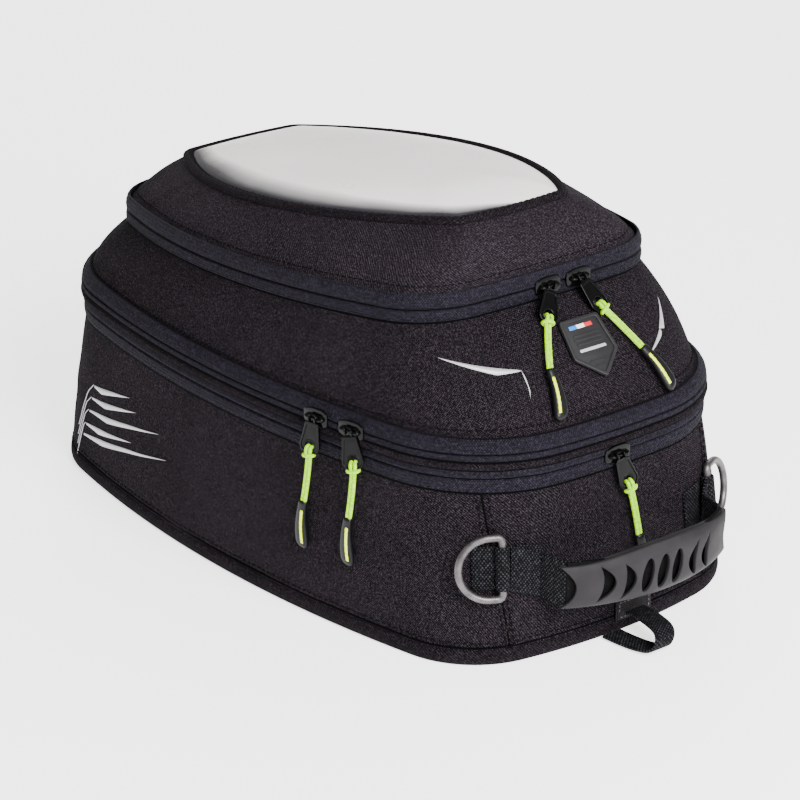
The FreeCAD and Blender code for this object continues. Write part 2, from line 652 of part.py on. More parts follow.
def front_pull(name, frame, hole_at, mid_at, end_at, tip_at):
    """A pull of the upper zip, lying on the lid's sloping front. Each *_at is (share, y, standoff)."""
    pivot = frame.at(0, 0, BRIDGE_N)
    tab = (lid_front(*hole_at)[0] - pivot).normalize()
    hole = pivot + tab * (PULLER_LENGTH - CORD_FROM_END)
    middle = hole + (lid_front(*mid_at)[0] - hole).normalize() * CORD_RUN
    end = middle + (lid_front(*end_at)[0] - middle).normalize() * CORD_RUN
    tip, normal = lid_front(*tip_at)
    return pull_parts(name, frame, tab, [hole, middle, end], tip, normal)


FRAMES = {
    "main_left": side_frame(MAIN_LEFT_X),
    "main_right": side_frame(MAIN_RIGHT_X),
    "upper_left": upper_frame(UPPER_LEFT_Y),
    "upper_right": upper_frame(UPPER_RIGHT_Y),
    "expansion": expansion_frame(),
}


def pulls():
    """All five. The angles in degrees are the leans of the tab and of the cord along the zip."""
    parts = {}
    for name, tilt, tab_lean, lean in (("main_left", 0.05, 6, 6.5), ("main_right", 0.05, -14, 5),
                                       ("expansion", 0.085, -18, -11)):
        leans = math.radians(tab_lean), math.radians(lean)
        parts.update(straight_pull(name, FRAMES[name], tilt, *leans))
    parts.update(front_pull("upper_left", FRAMES["upper_left"],
                            (0.78, -12.5, 3.0), (0.60, -21.4, 3.4), (0.41, -27.6, 4.8), (0.03, -29.0, 6.6)))
    parts.update(front_pull("upper_right", FRAMES["upper_right"],
                            (0.80, 24.0, 3.0), (0.60, 29.8, 3.4), (0.43, 33.6, 4.6), (0.10, 43.5, 6.2)))
    return parts


# ---------------------------------------------------------------- all parts
def all_parts():
    parts = {}
    parts.update(base_parts())
    parts.update(rim_parts())
    parts.update(lid_parts())
    parts.update(cover_parts())
    for name, shape in (("d_ring", d_ring()), ("ring_keeper", ring_keeper())):
        parts[name + "_left"] = shape
        parts[name + "_right"] = mirrored(shape)
    parts.update(handle_straps())
    parts["grip"] = grip()
    parts["grip_strap"] = curved_band(-STRAP / 2, STRAP / 2, GRIP_HALF - 0.5, STRAP_WIDTH)
    parts["front_loop"] = front_loop()
    parts["hem_tab"] = hem_tab()
    parts.update(pulls())
    return parts


os.makedirs("parts", exist_ok=True)
for node, shape in all_parts().items():
    box = shape.BoundBox
    print("%-22s valid %s solids %d volume %.0f  x %.1f..%.1f y %.1f..%.1f z %.1f..%.1f" % (
        node, shape.isValid(), len(shape.Solids), shape.Volume, box.XMin, box.XMax, box.YMin, box.YMax,
        box.ZMin, box.ZMax))
    shape.exportStep("parts/" + node + ".step")
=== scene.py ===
import math
from contextlib import contextmanager

import bmesh
import bpy
from mathutils import Matrix, Vector, noise


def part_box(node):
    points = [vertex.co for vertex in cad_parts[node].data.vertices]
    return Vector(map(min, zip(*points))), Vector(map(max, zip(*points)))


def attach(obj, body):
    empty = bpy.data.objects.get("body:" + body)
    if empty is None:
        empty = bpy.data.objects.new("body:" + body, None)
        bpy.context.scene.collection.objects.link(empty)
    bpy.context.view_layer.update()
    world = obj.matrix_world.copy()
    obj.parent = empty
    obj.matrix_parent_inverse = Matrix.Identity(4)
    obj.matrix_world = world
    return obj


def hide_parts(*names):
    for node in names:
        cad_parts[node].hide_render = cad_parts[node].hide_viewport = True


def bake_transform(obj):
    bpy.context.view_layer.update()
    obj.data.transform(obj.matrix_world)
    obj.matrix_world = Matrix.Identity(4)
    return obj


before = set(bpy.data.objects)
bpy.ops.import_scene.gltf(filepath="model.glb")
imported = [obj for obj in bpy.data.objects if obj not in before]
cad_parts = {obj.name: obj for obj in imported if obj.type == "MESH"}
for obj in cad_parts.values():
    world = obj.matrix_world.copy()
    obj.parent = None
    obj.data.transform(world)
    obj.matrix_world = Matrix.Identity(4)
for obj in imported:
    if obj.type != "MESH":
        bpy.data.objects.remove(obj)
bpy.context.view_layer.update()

# The looks of the tank bag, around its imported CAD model. Lengths below are in millimetres, in the CAD's
# frame, and MM turns them into metres as a mesh is made. +X is the handle end, -Y the near long side.
MM = 0.001
TAU = 2 * math.pi

# ---------------------------------------------------------------- driving dimensions, as in the CAD
BASE_PLAN = dict(half=128.0, apex=-42.0, side_r=745.0, front=195.0, front_r=330.0, front_c=54.0,
                 rear=-195.0, rear_r=650.0, rear_c=54.0)
RIM_PLAN = dict(half=124.0, apex=-36.0, side_r=660.0, front=190.0, front_r=480.0, front_c=75.0,
                rear=-194.0, rear_r=650.0, rear_c=75.0)
TOP_PLAN = dict(half=101.0, apex=-16.0, side_r=430.0, front=134.0, front_r=650.0, front_c=42.0,
                rear=-172.0, rear_r=650.0, rear_c=42.0)
WINDOW_PLAN = dict(half=74.0, apex=-25.0, side_r=233.0, front=106.0, front_r=200.0, front_c=9.0,
                   rear=-153.0, rear_r=250.0, rear_c=9.0)
TOP_TILT, WINDOW_TILT = math.radians(5.0), math.radians(7.4)
FABRIC, LINING, GAP, TAPE = 3.0, 0.8, 0.3, 1.2
TUB_BOTTOM, TUB_TOP, TUB_TOP_INSET = 6.2, 95.0, 3.7
TAPE_SEAM, EXPANSION_LINE, EXPANSION_INSET = 92.6, 100.5, 2.0
BEAD_R, BEAD_Z = 2.2, 107.6
MAIN_LINE, MAIN_TAPE_TOP, MAIN_INSET = 114.0, 121.0, 1.0
LID_BOTTOM, LID_TOP, LID_BULGE = 118.6, 158.4, 3.4
UPPER_TAPE_BOTTOM, UPPER_LINE, UPPER_TAPE_TOP = 158.0, 164.5, 173.0
COVER_BOTTOM, COVER_BULGE, WINDOW_Z = 170.0, 2.0, 195.0
GUSSET_BOTTOM, GUSSET_INSET = 44.0, 8.6
STRAP_WIDTH, STRAP, HANDLE_Z = 25.0, 2.0, 48.5
GRIP_END_X, GRIP_HALF, GRIP_SAG, GRIP_SHIFT = 208.0, 53.0, 14.5, 4.0
RING_Z, RING_BAR, RING_ANGLE, RING_STANDOFF = 54.0, 16.5, math.radians(-27.5), 4.6
RING_WIRE, KEEPER, KEEPER_WIDTH = 2.0, 1.8, 23.0
PULLER_LENGTH, CORD_RUN, POD_LENGTH = 20.0, 15.5, 27.0
CORD_R, STRAND_STEP, CORD_FROM_END, HOLE_FROM_END = 1.0, 1.9, 2.2, 4.4
BRIDGE_N = 3.3              # height of the puller's pivot over the zip's line
HEM_TOP, HEM_STITCHES = 10.0, 12.6
SIDES = ((1, "left"), (-1, "right"))        # the near side, and its mirror


# ---------------------------------------------------------------- outlines
class Outline:
    """A plan of ten arcs, mirrored about the X axis. A place on it is c, from 0 to 10.

    c runs from the middle of the rear end along the near side to the middle of the front end at 5,
    and back along the far side. Its whole part is the arc and the rest is how far along that arc."""

    def __init__(self, **sizes):
        self.sizes = sizes
        self._arcs = None

    def grown(self, offset):
        sizes = dict(self.sizes)
        for key in ("half", "side_r", "front", "front_r", "front_c", "rear_r", "rear_c"):
            sizes[key] += offset
        sizes["rear"] -= offset
        return Outline(**sizes)

    def mixed(self, other, share):
        return Outline(**{key: value + (other.sizes[key] - value) * share
                          for key, value in self.sizes.items()})

    def knee(self, end, sign):
        """Centre of the near corner at one end, and centre and radius of that end."""
        s = self.sizes
        side = Vector((s["apex"], s["side_r"] - s["half"]))
        centre = Vector((s[end] - sign * s[end + "_r"], 0.0))
        reach_side = s["side_r"] - s[end + "_c"]
        reach_end = s[end + "_r"] - s[end + "_c"]
        gap = centre - side
        along = (reach_side ** 2 - reach_end ** 2 + gap.length_squared) / (2 * gap.length)
        height = math.sqrt(reach_side ** 2 - along ** 2)
        foot = side + gap.normalized() * along
        normal = Vector((-gap.y, gap.x)).normalized() * height
        return min((foot + normal, foot - normal), key=lambda point: point.y), centre

    def arcs(self):
        """(centre, radius, first angle, last angle) of the near half's five arcs."""
        if self._arcs is None:
            s = self.sizes
            side = Vector((s["apex"], s["side_r"] - s["half"]))
            rear_knee, rear = self.knee("rear", -1)
            front_knee, front = self.knee("front", 1)

            def angle(towards, centre):
                a = math.atan2(towards.y - centre.y, towards.x - centre.x)
                return a if a < 0 else a - TAU

            stops = [-math.pi, angle(rear_knee, rear), angle(rear_knee, side), angle(front_knee, side),
                     angle(front_knee, front), 0.0]
            centres = [(rear, s["rear_r"]), (rear_knee, s["rear_c"]), (side, s["side_r"]),
                       (front_knee, s["front_c"]), (front, s["front_r"])]
            self._arcs = [(centre, radius, stops[i], stops[i + 1])
                          for i, (centre, radius) in enumerate(centres)]
        return self._arcs

    def at(self, c):
        """x, y and the outward normal's x, y at place c."""
        c %= 10
        mirror = 1 if c <= 5 else -1
        near = c if c <= 5 else 10 - c
        arc = min(int(near), 4)
        centre, radius, first, last = self.arcs()[arc]
        a = first + (last - first) * (near - arc)
        x, y = centre.x + radius * math.cos(a), centre.y + radius * math.sin(a)
        return x, mirror * y, math.cos(a), mirror * math.sin(a)

    def point(self, c, z, tilt, out=0.0):
        """The point at place c of this plan, out from its line, at height z and tilted."""
        x, y, nx, ny = self.at(c)
        return placed(x + nx * out, y + ny * out, z, tilt)

    def front_c(self, y):
        """The place on the front end whose y is this."""
        _, radius, first, last = self.arcs()[4]
        near = 4 + (math.asin(-abs(y) / radius) - first) / (last - first)
        return near if y <= 0 else 10 - near

    def side_c(self, x):
        """The place on the near side whose x is this."""
        centre, radius, first, last = self.arcs()[2]
        return 2 + (-math.acos((x - centre.x) / radius) - first) / (last - first)

    def front_x(self, y):
        s = self.sizes
        return s["front"] - s["front_r"] + math.sqrt(s["front_r"] ** 2 - y * y)


BASE, RIM = Outline(**BASE_PLAN), Outline(**RIM_PLAN)
TOP, WINDOW = Outline(**TOP_PLAN), Outline(**WINDOW_PLAN)


def tub_level(v):
    """The tub's wall, from 0 at the ground to 1 at its top edge."""
    outline = BASE.grown(-1.0).mixed(RIM.grown(-TUB_TOP_INSET), v)
    return outline, TUB_BOTTOM + (TUB_TOP - TUB_BOTTOM) * v, 0.0


def tub_share(z):
    return (z - TUB_BOTTOM) / (TUB_TOP - TUB_BOTTOM)


def lid_level(v):
    outline = RIM.grown(-6.6).mixed(TOP.grown(-1.8), v).grown(LID_BULGE * math.sin(math.pi * v))
    return outline, LID_BOTTOM + (LID_TOP - LID_BOTTOM) * v, TOP_TILT * v


def cover_level(v):
    outline = TOP.grown(-2.6).mixed(WINDOW, v).grown(COVER_BULGE * math.sin(math.pi * v))
    return outline, COVER_BOTTOM + (WINDOW_Z - COVER_BOTTOM) * v, TOP_TILT + (WINDOW_TILT - TOP_TILT) * v


def placed(x, y, z, tilt):
    """A point of a plan that is tilted about the Y axis, at height z over x = 0."""
    return Vector((x * math.cos(tilt), y, z + x * math.sin(tilt)))


def turns(count):
    """The angles of this many even steps round a circle."""
    return [TAU * k / count for k in range(count)]


def smooth(low, high, value):
    """0 at low, 1 at high, and an S-shaped rise between them."""
    t = min(max((value - low) / (high - low), 0.0), 1.0)
    return t * t * (3 - 2 * t)


def hump(distance, width):
    """A bell, 1 at no distance and almost gone at two widths."""
    return math.exp(-(distance / width) ** 2)


class Surface:
    """A wall of cloth: level(v) gives its outline, height and tilt, and relief its soft shape."""

    def __init__(self, level, relief):
        self.level = level
        self.relief = relief

    def at(self, c, v, out=0.0):
        outline, z, tilt = self.level(v)
        x, y, nx, ny = outline.at(c)
        out += self.relief(c, v, placed(x, y, z, tilt))
        return placed(x + nx * out, y + ny * out, z, tilt)

    def normal(self, c, v):
        step_c, step_v = 0.01, 0.02
        along = self.at(c + step_c, v) - self.at(c - step_c, v)
        rise = self.at(c, v + step_v) - self.at(c, v - step_v)
        return along.cross(rise).normalized()

    def above(self, c, v, height):
        """The point at this height off the cloth, along its own normal."""
        return self.at(c, v) + self.normal(c, v) * height


def folds(point, size, flat=1.0):
    """Smooth noise in -1..1, whose lumps are about size wide and flat times as high."""
    return noise.noise(Vector((point.x / size, point.y / size, point.z / (size * flat))))


def fullness(v):
    """How freely a wall may bulge at share v of its height: not at all at its sewn edges."""
    return math.sqrt(max(math.sin(math.pi * min(max(v, 0.0), 1.0)), 0.0))


def seam_c(v):
    """Place of the tub's near corner seam."""
    return 3.9 - 0.56 * v + 0.18 * v * v


SEAM_MM = 75.0              # length of the front corner's arc, which turns c into millimetres there


def tub_relief(c, v, point):
    """Padding, creases and the pressed corner seam, quieter behind the handle."""
    near = c if c <= 5 else 10 - c
    edge = fullness(v)
    handle = 1 - 0.8 * smooth(95, 135, point.x) * hump(point.z - HANDLE_Z, 30.0)
    body = 1.1 * edge + edge * handle * (1.1 * folds(point, 62, 0.8) + 0.55 * folds(point, 24, 0.7))
    crease = 0.9 * edge * handle * max(folds(point + Vector((60, 0, 40)), 38, 0.35), 0.0) ** 2
    from_seam = (near - seam_c(v)) * SEAM_MM
    return body + crease - 0.9 * hump(from_seam, 1.3) + 0.25 * hump(abs(from_seam) - 3.2, 1.6)


def lid_relief(c, v, point):
    """Padding with shallow lumps, quieter on the sloping front."""
    edge = fullness(v)
    front = 1 - 0.7 * smooth(100, 130, point.x)
    return edge * front * (1.1 * folds(point, 55, 0.7) + 0.5 * folds(point, 21, 0.6))


def cover_relief(c, v, point):
    """Lumps that grow towards the rear, and slanting creases beside the window's rear end."""
    edge = fullness(v)
    rear = 1 + 1.3 * smooth(-60, -140, point.x)
    broad = 1.0 * folds(point, 48, 0.8) + 0.45 * folds(point, 19, 0.8)
    creases = 0.55 * hump(point.x + 100, 26) * math.sin(TAU * (point.x - 1.3 * (point.z - 170)) / 17)
    return edge * (rear * broad + creases)


TUB = Surface(tub_level, tub_relief)
LID = Surface(lid_level, lid_relief)
COVER = Surface(cover_level, cover_relief)

# ---------------------------------------------------------------- meshes
STOPS = []                  # places of the columns that every band and wall shares
for arc, cells in enumerate((22, 22, 96, 30, 20)):
    STOPS += [arc + i / cells for i in range(cells)]
for fine in range(-4, 5):   # closer together beside the corner seam
    STOPS += [seam_c(v) + fine * 0.9 / SEAM_MM for v in (0.0, 0.33, 0.66, 1.0)]
STOPS = sorted(set(round(c, 4) for c in STOPS))
COLUMNS = STOPS + [5.0] + [10 - c for c in STOPS[:0:-1]]


@contextmanager
def editing(mesh):
    """A mesh opened for editing, and written back with its normals outwards."""
    work = bmesh.new()
    work.from_mesh(mesh)
    yield work
    bmesh.ops.recalc_face_normals(work, faces=work.faces)
    work.to_mesh(mesh)
    work.free()


def make_object(name, vertices, faces, *materials):
    """A smooth piece of vertices in metres, with these of MATERIALS."""
    mesh = bpy.data.meshes.new(name)
    mesh.from_pydata([tuple(v) for v in vertices], [], faces)
    for material in materials:
        mesh.materials.append(MATERIALS[material])
    mesh.polygons.foreach_set("use_smooth", [True] * len(mesh.polygons))
    mesh.update()
    piece = bpy.data.objects.new(name, mesh)
    bpy.context.collection.objects.link(piece)
    return piece


def lay_uv(mesh, row_length, row_count, u_at, v_at):
    """UV in metres: u along a row and v across the rows, for faces made by grid()."""
    layer = mesh.uv_layers.new(name="Cloth")
    for polygon in mesh.polygons:
        cells = [divmod(mesh.loops[i].vertex_index, row_length) for i in polygon.loop_indices]
        rows, cols = zip(*cells)
        wraps = max(cols) - min(cols) > row_length / 2
        rounds = max(rows) - min(rows) > row_count / 2 and row_count > 3
        for i, (row, col) in zip(polygon.loop_indices, cells):
            u = u_at[row_length] if wraps and col == 0 else u_at[col]
            v = v_at[row_count] if rounds and row == 0 else v_at[row]
            layer.data[i].uv = (u, v)


def grid(name, rows, material, closed=True, ring=False):
    """A mesh through rows of points. closed joins each row's ends, and ring the first and last rows."""
    count, length = len(rows), len(rows[0])
    vertices = [point * MM for row in rows for point in row]
    faces = []
    for r in range(count if ring else count - 1):
        for k in range(length if closed else length - 1):
            a, b = r * length + k, r * length + (k + 1) % length
            top = ((r + 1) % count) * length
            faces.append((a, b, top + (k + 1) % length, top + k))
    piece = make_object(name, vertices, faces, material)
    middle = rows[count // 4]
    u_at = [0.0]
    for k in range(length):
        u_at.append(u_at[-1] + (middle[(k + 1) % length] - middle[k]).length * MM)
    v_at = [0.0]
    probe = length // 3
    for r in range(count):
        v_at.append(v_at[-1] + (rows[(r + 1) % count][probe] - rows[r][probe]).length * MM)
    lay_uv(piece.data, length, count, u_at, v_at)
    return piece


def band(name, section, material):
    """A closed ring whose section is a list of (outline, z, tilt, out), in order round the section."""
    rows = [[outline.point(c, z, tilt, out) for c in COLUMNS] for outline, z, tilt, out in section]
    return grid(name, rows, material, ring=True)


def wall(name, surface, low, high, thickness, material, rows_count):
    """A closed wall of cloth between two shares of a surface."""
    outer = [low + (high - low) * i / rows_count for i in range(rows_count + 1)]
    inner = [low + (high - low) * i / 6 for i in range(6, -1, -1)]
    rows = [[surface.at(c, v) for c in COLUMNS] for v in outer]
    rows += [[surface.at(c, v, -thickness) for c in COLUMNS] for v in inner]
    return grid(name, rows, material, ring=True)


def slab(name, point, across, along, thick, material, edge=0.35):
    """A sewn patch, lower at its edges. point(i, j, height) gives it for i and j in 0..1 across and along."""
    def layer_at(height):
        return [[point(i / across, j / along, height * (1 if 0 < i < across and 0 < j < along else 1 - edge))
                 for i in range(across + 1)] for j in range(along + 1)]

    top, bottom = layer_at(thick), layer_at(0.0)
    width = across + 1
    size = width * (along + 1)
    vertices = [p * MM for rows in (top, bottom) for row in rows for p in row]
    faces = []
    for j in range(along):
        for i in range(across):
            a = j * width + i
            faces.append((a, a + 1, a + 1 + width, a + width))
            faces.append((size + a, size + a + width, size + a + 1 + width, size + a + 1))
    rim = list(range(width)) + [j * width + across for j in range(1, along + 1)]
    rim += [along * width + i for i in range(across - 1, -1, -1)]
    rim += [j * width for j in range(along - 1, 0, -1)]
    for k, a in enumerate(rim):
        b = rim[(k + 1) % len(rim)]
        faces.append((a, size + a, size + b, b))
    piece = make_object(name, vertices, faces, material)
    layer = piece.data.uv_layers.new(name="Cloth")
    u_length = sum((top[along // 2][i + 1] - top[along // 2][i]).length for i in range(across)) * MM
    v_length = sum((top[j + 1][across // 2] - top[j][across // 2]).length for j in range(along)) * MM
    for loop in piece.data.loops:
        j, i = divmod(loop.vertex_index % size, width)
        layer.data[loop.index].uv = (i / across * u_length, j / along * v_length)
    return piece


OFF_AXIS = Vector((0.31, 0.22, 0.92))       # in line with no tube, so that it gives each one a side


def tube(name, path, radius, material, sides=10, closed=False, flat=1.0):
    """A round or flattened tube along points in millimetres, with rounded ends unless it is closed."""
    count = len(path)
    tangents = []
    for i in range(count):
        before = path[i - 1] if closed or i else path[0]
        after = path[(i + 1) % count] if closed or i < count - 1 else path[-1]
        tangents.append((after - before).normalized())
    side = OFF_AXIS.cross(tangents[0]).normalized()
    frames = []
    for tangent in tangents:
        side = (side - tangent * side.dot(tangent)).normalized()
        frames.append((side.copy(), tangent.cross(side)))
    radii = [1.0] * count
    points = list(path)
    if not closed:
        points = [path[0] - tangents[0] * radius * 0.6] + points + [path[-1] + tangents[-1] * radius * 0.6]
        frames = [frames[0]] + frames + [frames[-1]]
        radii = [0.45] + radii + [0.45]
    vertices, faces = [], []
    for point, (a, b), share in zip(points, frames, radii):
        for k in range(sides):
            turn = TAU * k / sides
            offset = a * math.cos(turn) + b * (math.sin(turn) * flat)
            vertices.append((point + offset * radius * share) * MM)
    rings = len(points)
    for r in range(rings if closed else rings - 1):
        for k in range(sides):
            top = ((r + 1) % rings) * sides
            faces.append((r * sides + k, r * sides + (k + 1) % sides, top + (k + 1) % sides, top + k))
    if not closed:
        faces.append(tuple(reversed(range(sides))))
        faces.append(tuple(range((rings - 1) * sides, rings * sides)))
    return make_object(name, vertices, faces, material)


def joined(name, parts):
    """Several pieces as one mesh, each part's own material kept."""
    vertices, faces, slots, materials = [], [], [], []
    uvs = []
    for part in parts:
        mesh = part.data
        start = len(vertices)
        vertices += [part.matrix_world @ v.co for v in mesh.vertices]
        for polygon in mesh.polygons:
            faces.append([start + i for i in polygon.vertices])
            material = mesh.materials[polygon.material_index]
            if material not in materials:
                materials.append(material)
            slots.append(materials.index(material))
            layer = mesh.uv_layers.get("Cloth")
            uvs += [tuple(layer.data[i].uv) if layer else (0.0, 0.0) for i in polygon.loop_indices]
        bpy.data.objects.remove(part)
    piece = make_object(name, vertices, faces)
    for material in materials:
        piece.data.materials.append(material)
    piece.data.polygons.foreach_set("material_index", slots)
    layer = piece.data.uv_layers.new(name="Cloth")
    for loop, uv in zip(layer.data, uvs):
        loop.uv = uv
    return piece


def stitches(name, spots, material, length=2.7, pitch=4.0, radius=0.34):
    """Thread along spots, a list of (point, normal), as separate low stitches sunk halfway."""
    lengths = [0.0]
    for (a, _), (b, _) in zip(spots, spots[1:]):
        lengths.append(lengths[-1] + (b - a).length)
    vertices, faces = [], []
    count = int(lengths[-1] / pitch)
    k = 0
    for n in range(count):
        ends = []
        for reach in (n * pitch + 0.5, n * pitch + 0.5 + length):
            while k < len(lengths) - 2 and lengths[k + 1] < reach:
                k += 1
            share = (reach - lengths[k]) / max(lengths[k + 1] - lengths[k], 1e-6)
            ends.append((spots[k][0].lerp(spots[k + 1][0], share), spots[k][1]))
        (a, normal), (b, _) = ends
        along = (b - a).normalized()
        side = along.cross(normal).normalized()
        start = len(vertices)
        for share, scale, lift in ((0.0, 0.35, -0.3), (0.22, 1.0, 0.1), (0.78, 1.0, 0.1), (1.0, 0.35, -0.3)):
            centre = a.lerp(b, share) + normal * (radius * lift)
            for turn in range(6):
                angle = TAU * turn / 6
                spoke = side * (math.cos(angle) * radius) + normal * (math.sin(angle) * radius * 0.9)
                vertices.append((centre + spoke * scale) * MM)
        for ring in range(3):
            for turn in range(6):
                a0 = start + ring * 6 + turn
                b0 = start + ring * 6 + (turn + 1) % 6
                faces.append((a0, b0, b0 + 6, a0 + 6))
        faces.append(tuple(start + i for i in reversed(range(6))))
        faces.append(tuple(start + 18 + i for i in range(6)))
    return make_object(name, vertices, faces, material)


def seam_round(name, surface, v, material, **sizes):
    """A row of stitches all round a wall at one share of its height."""
    spots = [(surface.above(c, v, 0.1), surface.normal(c, v)) for c in COLUMNS]
    spots.append(spots[0])
    return stitches(name, spots, material, **sizes)


# ---------------------------------------------------------------- materials
class Shade:
    """A material under construction: its node tree and its shader."""

    def __init__(self, name, colour, roughness, **settings):
        self.material = bpy.data.materials.new(name)
        self.material.use_nodes = True
        self.tree = self.material.node_tree
        self.shader = self.tree.nodes["Principled BSDF"]
        self.shader.inputs["Base Color"].default_value = (*colour, 1)
        self.shader.inputs["Roughness"].default_value = roughness
        for key, value in settings.items():
            self.shader.inputs[key.replace("_", " ")].default_value = value

    def node(self, kind, props=(), **inputs):
        made = self.tree.nodes.new("ShaderNode" + kind)
        for key, value in dict(props).items():
            setattr(made, key, value)
        for key, value in inputs.items():
            self.feed(made.inputs[key.replace("_", " ")], value)
        return made

    def feed(self, socket, value):
        if isinstance(value, bpy.types.NodeSocket):
            self.tree.links.new(value, socket)
        else:
            socket.default_value = value

    def times(self, a, b):
        return self.math("MULTIPLY", a, b)

    def plus(self, a, b):
        return self.math("ADD", a, b)

    def minus(self, a, b):
        return self.math("SUBTRACT", a, b)

    def math(self, operation, a, b=0.0):
        made = self.tree.nodes.new("ShaderNodeMath")
        made.operation = operation
        self.feed(made.inputs[0], a)
        self.feed(made.inputs[1], b)
        return made.outputs[0]

    def uv(self):
        split = self.node("SeparateXYZ", Vector=self.node("TexCoord").outputs["UV"])
        return split.outputs["X"], split.outputs["Y"]

    def place(self):
        return self.node("TexCoord").outputs["Object"]

    def noise(self, scale, detail=2.0):
        return self.node("TexNoise", Vector=self.place(), Scale=scale, Detail=detail).outputs["Fac"]

    def wave(self, coordinate, pitch):
        """A sine in -1..1 along one coordinate, with this pitch in metres."""
        return self.math("SINE", self.times(coordinate, TAU / pitch))

    def ramp(self, value, *stops):
        """Colours at positions: each stop is (position, colour)."""
        made = self.node("ValToRGB", Fac=value)
        elements = made.color_ramp.elements
        while len(elements) < len(stops):
            elements.new(0.5)
        for element, (position, colour) in zip(elements, stops):
            element.position = position
            element.color = (*colour, 1)
        return made.outputs["Color"]

    def mix(self, share, a, b, blend="MIX"):
        made = self.node("Mix", {"data_type": "RGBA", "blend_type": blend})
        self.feed(made.inputs[0], share)
        self.feed(made.inputs[6], (*a, 1) if isinstance(a, tuple) else a)
        self.feed(made.inputs[7], (*b, 1) if isinstance(b, tuple) else b)
        return made.outputs[2]

    def colour(self, value):
        self.feed(self.shader.inputs["Base Color"], value)

    def rough(self, value, low, high):
        made = self.node("MapRange", Value=value, To_Min=low, To_Max=high)
        self.feed(self.shader.inputs["Roughness"], made.outputs["Result"])

    def bump(self, height, strength, distance):
        made = self.node("Bump", Height=height, Strength=strength, Distance=distance)
        self.feed(self.shader.inputs["Normal"], made.outputs["Normal"])


def scaled(colour, factor):
    return tuple(channel * factor for channel in colour)


def woven(name, colour, pitch, contrast, depth=0.0003, roughness=0.9):
    """Cloth woven on the diagonal: bright yarn crowns and dark gaps, painted highlight and painted shade over
    the yarn's own grain, and slow changes of tone.
    """
    shade = Shade(name, colour, roughness, Specular_IOR_Level=0.03)
    u, v = shade.uv()
    wobble = shade.times(shade.noise(500.0, 1.0), pitch * 0.8)
    warp = shade.wave(shade.plus(shade.plus(u, v), wobble), pitch)
    weft = shade.wave(shade.minus(u, v), pitch * 0.8)
    height = shade.plus(shade.times(warp, 0.6), shade.times(weft, 0.4))
    grain = shade.minus(shade.noise(1.6 / pitch, 1.0), 0.5)
    weave = shade.times(height, 0.32 * contrast)
    yarn = shade.plus(shade.plus(weave, 0.42), shade.times(grain, 1.5 * contrast))
    # tone follows the weave's height: painted shade in the gaps and painted highlight on the crowns, with the
    # random grain as the yarn's own colour
    tone = shade.ramp(yarn, (0.08, scaled(colour, 0.2)), (0.42, scaled(colour, 0.9)),
                      (0.66, scaled(colour, 2.0)), (0.95, scaled(colour, 4.5)))
    broad = shade.times(shade.minus(shade.noise(28.0, 3.0), 0.5), 0.5)
    drift = shade.ramp(shade.plus(broad, 0.5), (0.2, (0.70, 0.70, 0.72)), (0.8, (1.25, 1.2, 1.22)))
    shade.colour(shade.mix(1.0, tone, drift, "MULTIPLY"))
    shade.rough(shade.noise(160.0, 2.0), roughness - 0.06, min(roughness + 0.08, 1.0))
    shade.bump(shade.plus(height, shade.times(grain, 3.0)), 0.7, depth)
    return shade.material


def ribbed(name, colour, rib, cross, depth=0.0003, roughness=0.85, lift=4.0, grain=1.0, **settings):
    """Knitted tape or webbing: ribs along it, broken by short cross yarns, with painted shade in the hollows
    and painted highlight on the rib tops.
    """
    shade = Shade(name, colour, roughness, Specular_IOR_Level=0.08, **settings)
    u, v = shade.uv()
    ribs = shade.wave(v, rib)
    shift = shade.times(shade.math("SIGN", ribs), cross * 0.25)
    crosses = shade.wave(shade.plus(u, shift), cross)
    height = shade.plus(shade.times(shade.math("ABSOLUTE", ribs), 0.5),
                        shade.times(crosses, 0.5))
    speckle = shade.times(shade.minus(shade.noise(1.1 / cross, 1.0), 0.5), 1.3 * grain)
    share = shade.plus(shade.times(height, 0.4), shade.plus(0.28, speckle))
    # colour follows the rib height: painted shade in the hollows and painted highlight on the rib tops, lift
    # times the colour, over random speckle
    shade.colour(shade.ramp(share, (0.05, scaled(colour, 0.25)), (0.45, colour),
                            (0.95, scaled(colour, lift))))
    shade.rough(shade.noise(240.0, 2.0), roughness - 0.08, min(roughness + 0.08, 1.0))
    shade.bump(height, 0.7, depth)
    return shade.material


def moulded(name, colour, roughness, grain=1400.0, depth=0.00008, patchy=0.25, **settings):
    """Moulded rubber or plastic: fine grain, faint scuffs and an uneven sheen."""
    shade = Shade(name, colour, roughness, **settings)
    scuff = shade.noise(60.0, 5.0)
    shade.colour(shade.ramp(scuff, (0.3, scaled(colour, 1 - patchy)), (0.7, scaled(colour, 1 + patchy))))
    shade.rough(shade.noise(140.0, 4.0), max(roughness - 0.1, 0.05), min(roughness + 0.12, 1.0))
    shade.bump(shade.noise(grain, 3.0), 0.4, depth)
    return shade.material


def metal(name, colour, roughness, wear):
    """Coated metal that is a little brighter where it has been rubbed."""
    shade = Shade(name, colour, roughness, Metallic=0.85, Specular_IOR_Level=0.5)
    rubbed = shade.noise(240.0, 4.0)
    shade.colour(shade.ramp(rubbed, (0.35, colour), (0.75, wear)))
    shade.rough(shade.noise(420.0, 3.0), roughness - 0.08, roughness + 0.12)
    shade.bump(shade.noise(1700.0, 2.0), 0.15, 0.00004)
    return shade.material


